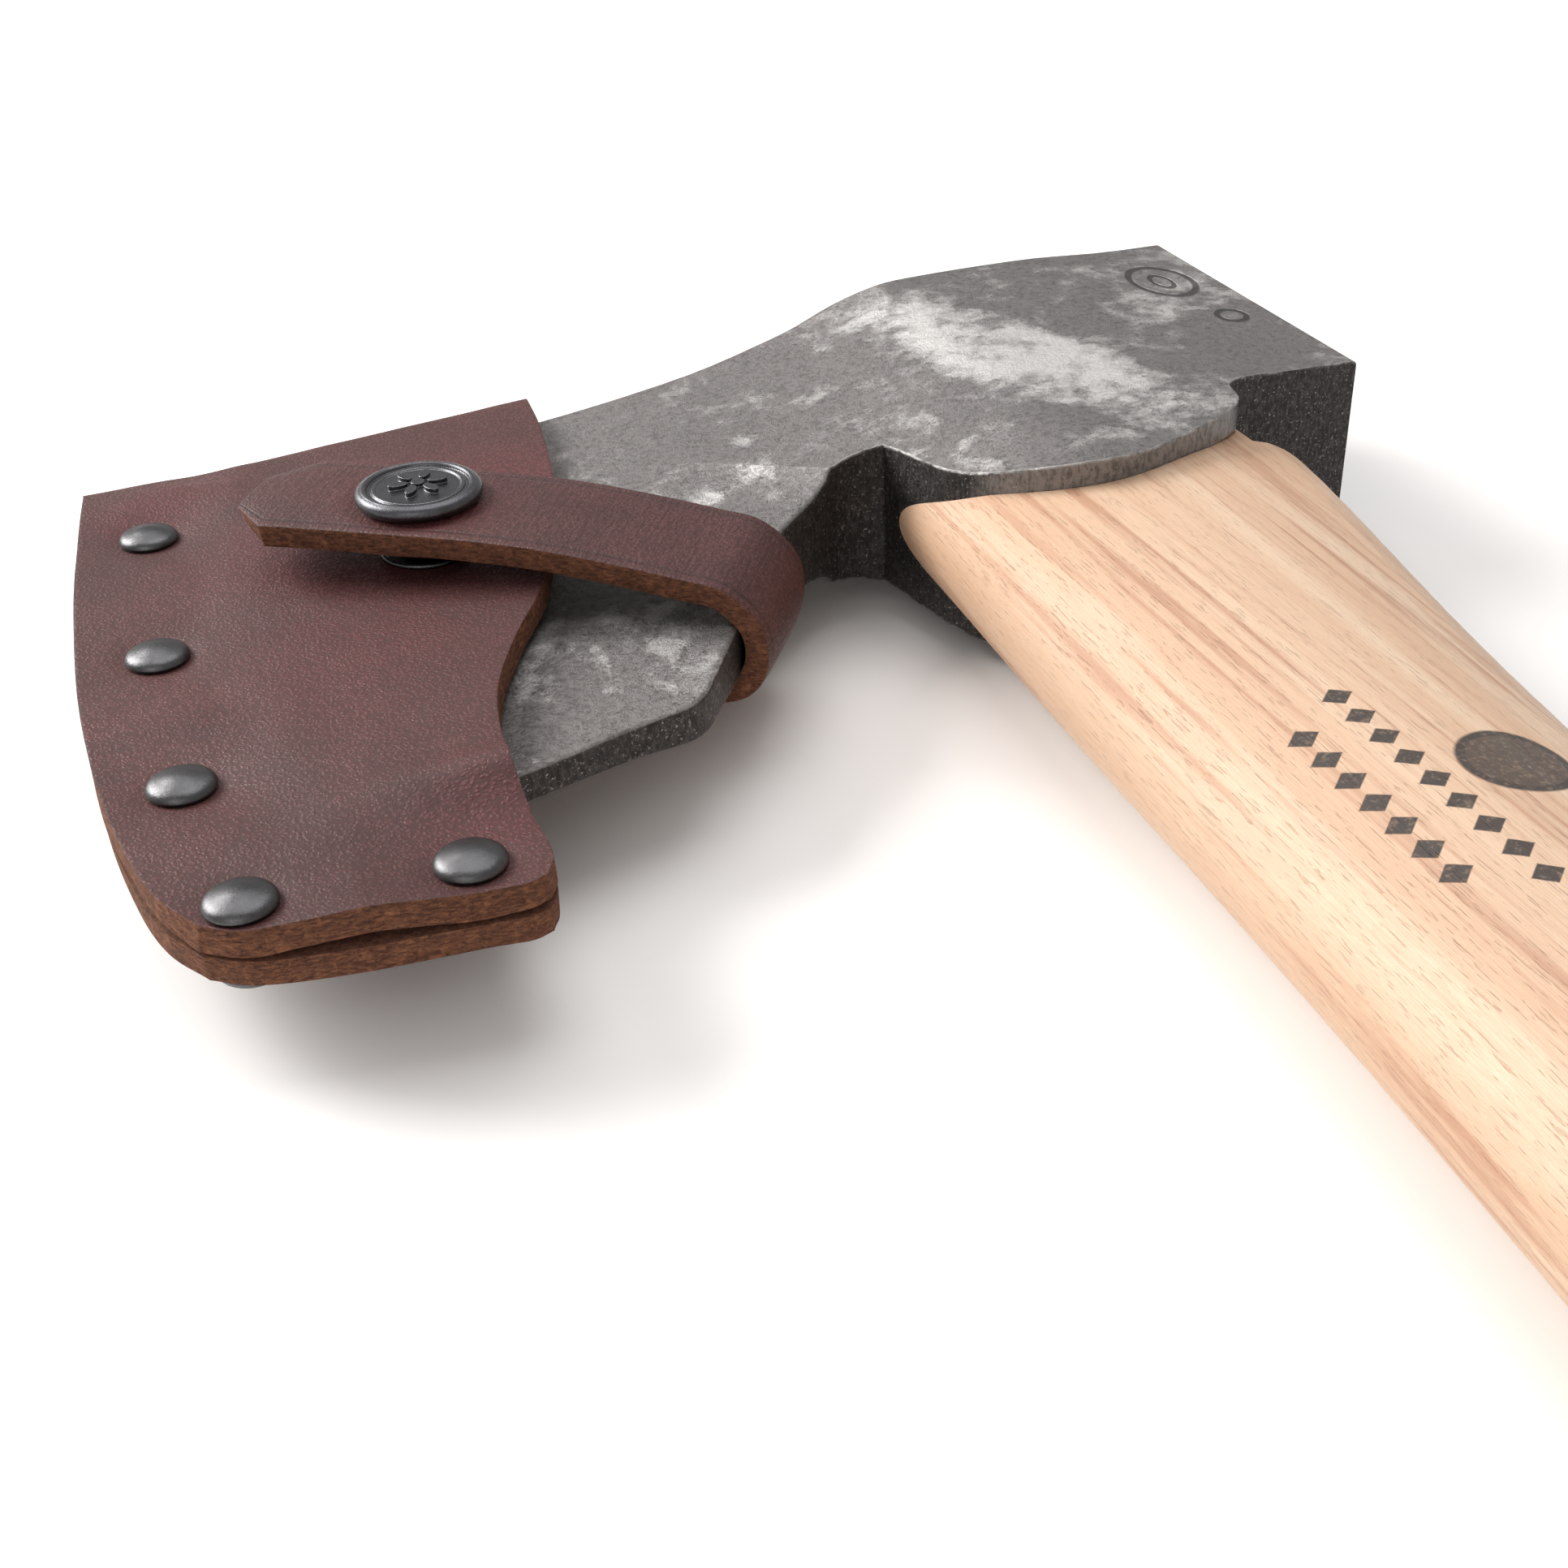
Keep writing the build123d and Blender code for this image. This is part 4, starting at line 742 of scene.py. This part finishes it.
def stand_off(x, y, side):
    """Outer face of the leather over (x, y), measured from the middle plane. side is 1 above and -1 below."""
    over_blade = BLADE_HALF + BLADE_FALL * (x - MOUTH_X) + PLAY + LEATHER
    edge = EDGE_X + EDGE_RADIUS - np.sqrt(EDGE_RADIUS ** 2 - (y - EDGE_Y) ** 2)
    inside = ease(x - edge, -5.0, 4.0)
    above_heel = ease(y, -71.0, -60.5)
    nearest = np.full(x.shape, 1e9)
    for spot in rivets:
        nearest = np.minimum(nearest, np.hypot(x - spot.x, y - spot.y))
    pucker = 1 - np.exp(-(nearest / 7.5) ** 2)
    lift = 0.62 if side > 0 else 0.30
    margin = SEAM + lift * pucker
    blend = inside * above_heel
    height = margin * (1 - blend) + np.maximum(over_blade, margin) * blend
    if side > 0:
        # the toe end of the fold stands up beside the first rivet
        height += 0.9 * hump(x, y, (-106.5, 20.5), (8.0, 6.0)) * pucker
        # crease over the heel, strongest at the mouth
        heel_line = -61.5 - 0.07 * (x + 81.0)
        height += 0.75 * np.exp(-((y - heel_line) / 2.4) ** 2) * np.exp(-((x + 81.0) / 12.0) ** 2)
        height -= 0.35 * np.exp(-((y - heel_line + 6.0) / 3.5) ** 2) * np.exp(-((x + 84.0) / 14.0) ** 2)
        height += 0.35 * hump(x, y, (-99.0, -66.0), (9.0, 4.0))
        height += 0.16 * wander(x, y, 13.0, 3.1) + 0.05 * wander(x, y, 4.5, 7.7)
        # the last rivets hold the layers together, and between them the lower edge gapes a little
        height += 0.45 * hump(x, y, (-99.0, -79.5), (6.5, 4.5))
        away = np.hypot(x - stud.x, y - stud.y)
        flat = 1 - ease(away, 5.8, 9.5)
        height = height * (1 - flat) + STUD_SEAT * flat
    else:
        height += 0.10 * wander(x, y, 13.0, 9.4) * (1 - ease(x, -108.0, -98.0))
    for spot in rivets:
        held = np.exp(-(np.hypot(x - spot.x, y - spot.y) / 4.3) ** 6)
        height = height * (1 - held) + SEAM * held
    return height


print("rivets at", [tuple(round(v, 1) for v in spot.xy) for spot in rivets])


# %% Lay the sheet and give it its thickness
def lay_grid(name, places):
    """A grid primitive whose points are moved to places, rows by columns."""
    rows, columns = places.shape[:2]
    bpy.ops.mesh.primitive_grid_add(x_subdivisions=columns - 1, y_subdivisions=rows - 1, size=2.0)
    sheet = bpy.context.object
    sheet.name = name
    start = np.zeros(len(sheet.data.vertices) * 3)
    sheet.data.vertices.foreach_get("co", start)
    start = start.reshape(-1, 3)
    column = np.rint((start[:, 0] + 1) / 2 * (columns - 1)).astype(int)
    row = np.rint((1 - start[:, 1]) / 2 * (rows - 1)).astype(int)
    sheet.data.vertices.foreach_set("co", (places[row, column] * MM).ravel())
    sheet.data.update()
    return sheet


def harden(sheet, thickness, materials, round_off):
    """Solidify gives the sheet its thickness inwards, then a small bevel rounds its cut edges."""
    for material in materials:
        sheet.data.materials.append(material)
    bpy.ops.object.select_all(action="DESELECT")
    sheet.select_set(True)
    bpy.context.view_layer.objects.active = sheet
    solid = sheet.modifiers.new("thickness", "SOLIDIFY")
    solid.thickness = thickness * MM
    solid.offset = -1.0
    solid.material_offset = 1
    solid.material_offset_rim = 2
    bpy.ops.object.modifier_apply(modifier="thickness")
    bevel = sheet.modifiers.new("worn_edge", "BEVEL")
    bevel.width = round_off * MM
    bevel.segments = 2
    bevel.limit_method = "ANGLE"
    bevel.angle_limit = math.radians(55)
    bpy.ops.object.modifier_apply(modifier="worn_edge")
    bpy.ops.object.shade_smooth()
    sheet.select_set(False)


def panel_side(side):
    x, y = panel[..., 0], panel[..., 1]
    return np.dstack([x, y, MIDDLE + side * stand_off(x, y, side)])


def fold_rows(side, wall_steps=4, arc_steps=8):
    """The rows over the fold, from the top of the panel to the middle plane."""
    x = panel[0, :, 0]
    half = stand_off(x, panel[0, :, 1], side)
    rows = []
    for angle in np.linspace(0, math.pi / 2, arc_steps + 1)[1:]:
        across = FOLD - FOLD_ROUND + FOLD_ROUND * math.sin(angle)
        out = half - FOLD_ROUND + FOLD_ROUND * math.cos(angle)
        rows.append(np.column_stack([x, np.full(x.shape, across), MIDDLE + side * out]))
    for share in np.linspace(1, 0, wall_steps + 1)[1:]:
        rows.append(np.column_stack([x, np.full(x.shape, FOLD), MIDDLE + side * (half - FOLD_ROUND) * share]))
    return np.array(rows)


upper, lower = panel_side(1), panel_side(-1)
over = np.concatenate([lower[::-1], fold_rows(-1)[:-1], fold_rows(1)[::-1], upper])
blade_sheet = lay_grid("leather_cover", over)
harden(blade_sheet, LEATHER, [cover_grain, flesh, raw_edge], 0.42)
print("leather cover", len(blade_sheet.data.polygons), "faces")


# %% [markdown]
# The strap is a second strip. Its back end is riveted under the cover, it comes round the throat of the head
# and its front end is buttoned down. The real strap bends when the cover is opened; here it is one mesh that
# runs from the cover to the flap, and its pattern follows a map of its own instead of space. Its path is
# a smooth curve through a few points in the plane of the bend, measured from where the straight legs start.

# %% The strap
hinge = next(j for j in frame["joints"] if j["name"] == "strap_open")
HINGE = Vector(hinge["pos_m"]) / MM
ACROSS = Vector(hinge["axis"])
ALONG = Vector((-ACROSS.y, ACROSS.x, 0))
HINGE_TO_ROOT = 2.0
ROOT = HINGE + ALONG * HINGE_TO_ROOT
STRAP_WIDE = 19.0
TIP_CUT, BACK_CUT = 5.0, 4.0
EDGE_CURL = -0.28
LOWER_DRAW = 0.22
CAP_RING, CAP_RING_WIDE, CAP_RING_DEEP = 7.6, 1.0, 0.22
FLAP_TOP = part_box("strap_flap")[1].z / MM
TIP, SNAP_RUN = 60.0, 38.7
UNDER = MIDDLE - (BLADE_HALF + BLADE_FALL * (ROOT.x - MOUTH_X) + PLAY + 2 * LEATHER)
RISE = BLADE_FALL * abs(ALONG.x)
strap_path = [
    (TIP, FLAP_TOP - 0.35), (54, FLAP_TOP - 0.05), (46, FLAP_TOP), (SNAP_RUN, FLAP_TOP),
    (31, FLAP_TOP - 0.05), (22, FLAP_TOP - 0.5), (13, FLAP_TOP - 1.6), (5, FLAP_TOP - 2.9),
    (0, FLAP_TOP - 3.9), (-3.6, FLAP_TOP - 6.6),
    (-5.3, MIDDLE + 2.4), (-5.4, MIDDLE - 1.6), (-4.0, MIDDLE - 5.6), (-0.8, MIDDLE - 8.1),
    (6, UNDER + 2.35), (20, UNDER + RISE * 20 + 0.1), (34, UNDER + RISE * 34), (48.2, UNDER + RISE * 48.2),
]
STRAP_ROWS, STRAP_COLUMNS = 260, 31
path = smooth_line(strap_path, STRAP_ROWS)
steps = np.linalg.norm(np.diff(path, axis=0), axis=1)
run = np.concatenate([[0], np.cumsum(steps)])
STRAP_LONG = float(run[-1])
width = np.linspace(-1, 1, STRAP_COLUMNS)
half_width = STRAP_WIDE / 2 - np.maximum(0, TIP_CUT - run) - np.maximum(0, run - (STRAP_LONG - BACK_CUT))
tangent = np.gradient(path, axis=0)
tangent /= np.linalg.norm(tangent, axis=1)[:, None]
outward = np.column_stack([tangent[:, 1], -tangent[:, 0]])
curl = EDGE_CURL * width ** 4
on_back = ease(run, STRAP_LONG - 58, STRAP_LONG - 46)
strap_places = np.zeros((STRAP_ROWS, STRAP_COLUMNS, 3))
for column in range(STRAP_COLUMNS):
    lifted = path + outward * (curl[column] * (1 - on_back))[:, None]
    side = half_width * width[column]
    strap_places[:, column, 0] = ROOT.x + ALONG.x * lifted[:, 0] + ACROSS.x * side
    strap_places[:, column, 1] = ROOT.y + ALONG.y * lifted[:, 0] + ACROSS.y * side
    # the throat is thinner on its lower side, so that edge is drawn in tighter
    lower_leg = ease(-path[:, 1], -MIDDLE, 4 - MIDDLE)
    tight = 1 - LOWER_DRAW * (0.5 - 0.5 * width[column]) * (1 - ease(path[:, 0], 3.0, 26.0)) * lower_leg
    strap_places[:, column, 2] = MIDDLE + (lifted[:, 1] - MIDDLE) * tight
# the cap presses a shallow ring into the grain
flat_part = strap_places[..., 2] > FLAP_TOP - 1
from_cap = np.hypot(strap_places[..., 0] - stud.x, strap_places[..., 1] - stud.y)
ring_depth = CAP_RING_DEEP * np.exp(-((from_cap - CAP_RING) / CAP_RING_WIDE) ** 2)
strap_places[..., 2] -= np.where(flat_part, ring_depth, 0)
strap = lay_grid("leather_strap", strap_places)
strap.data.uv_layers[0].name = "leather"
print("strap", round(STRAP_LONG, 1), "mm long")


# %% Strap finish and thickness
def turn_map(sheet):
    """The grid's map runs over its columns first; here U runs along the strap and V across it."""
    layer = sheet.data.uv_layers["leather"]
    flat = np.zeros(len(layer.data) * 2)
    layer.data.foreach_get("uv", flat)
    flat = flat.reshape(-1, 2)
    layer.data.foreach_set("uv", np.column_stack([1 - flat[:, 1], flat[:, 0]]).ravel())


turn_map(strap)
cap_run = float(run[np.argmin(np.abs(path[:, 0] - SNAP_RUN) + (path[:, 1] < FLAP_TOP - 2) * 99)])
strap_spots = [((cap_run, STRAP_WIDE / 2, 0), (16, 12, 9), 0.5)]
strap_grain = grain_side("strap_leather_grain", BURGUNDY, WINE, strap_spots, (STRAP_LONG, STRAP_WIDE), 0.55)
harden(strap, LEATHER, [strap_grain, flesh, raw_edge], 0.45)
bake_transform(strap)
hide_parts("strap_flap", "strap_bend", "strap_back")
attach(blade_sheet, "cover")
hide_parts("blade_cover")
print("strap faces", len(strap.data.polygons))


# %% [markdown]
# The floor is a plain matt board, a touch warm, with the faintest unevenness in its colour.

# %% Finish: floor
floor_paper, b, shader = new_finish("pale_floor", roughness=0.85, specular=0.2)
mm = b.millimetres()
b.feed(shader["Base Color"], b.mix(b.noise(mm, 0.01, 2.0, 0.5), (0.90, 0.885, 0.875), (0.93, 0.92, 0.915)))
floor.data.materials.append(floor_paper)
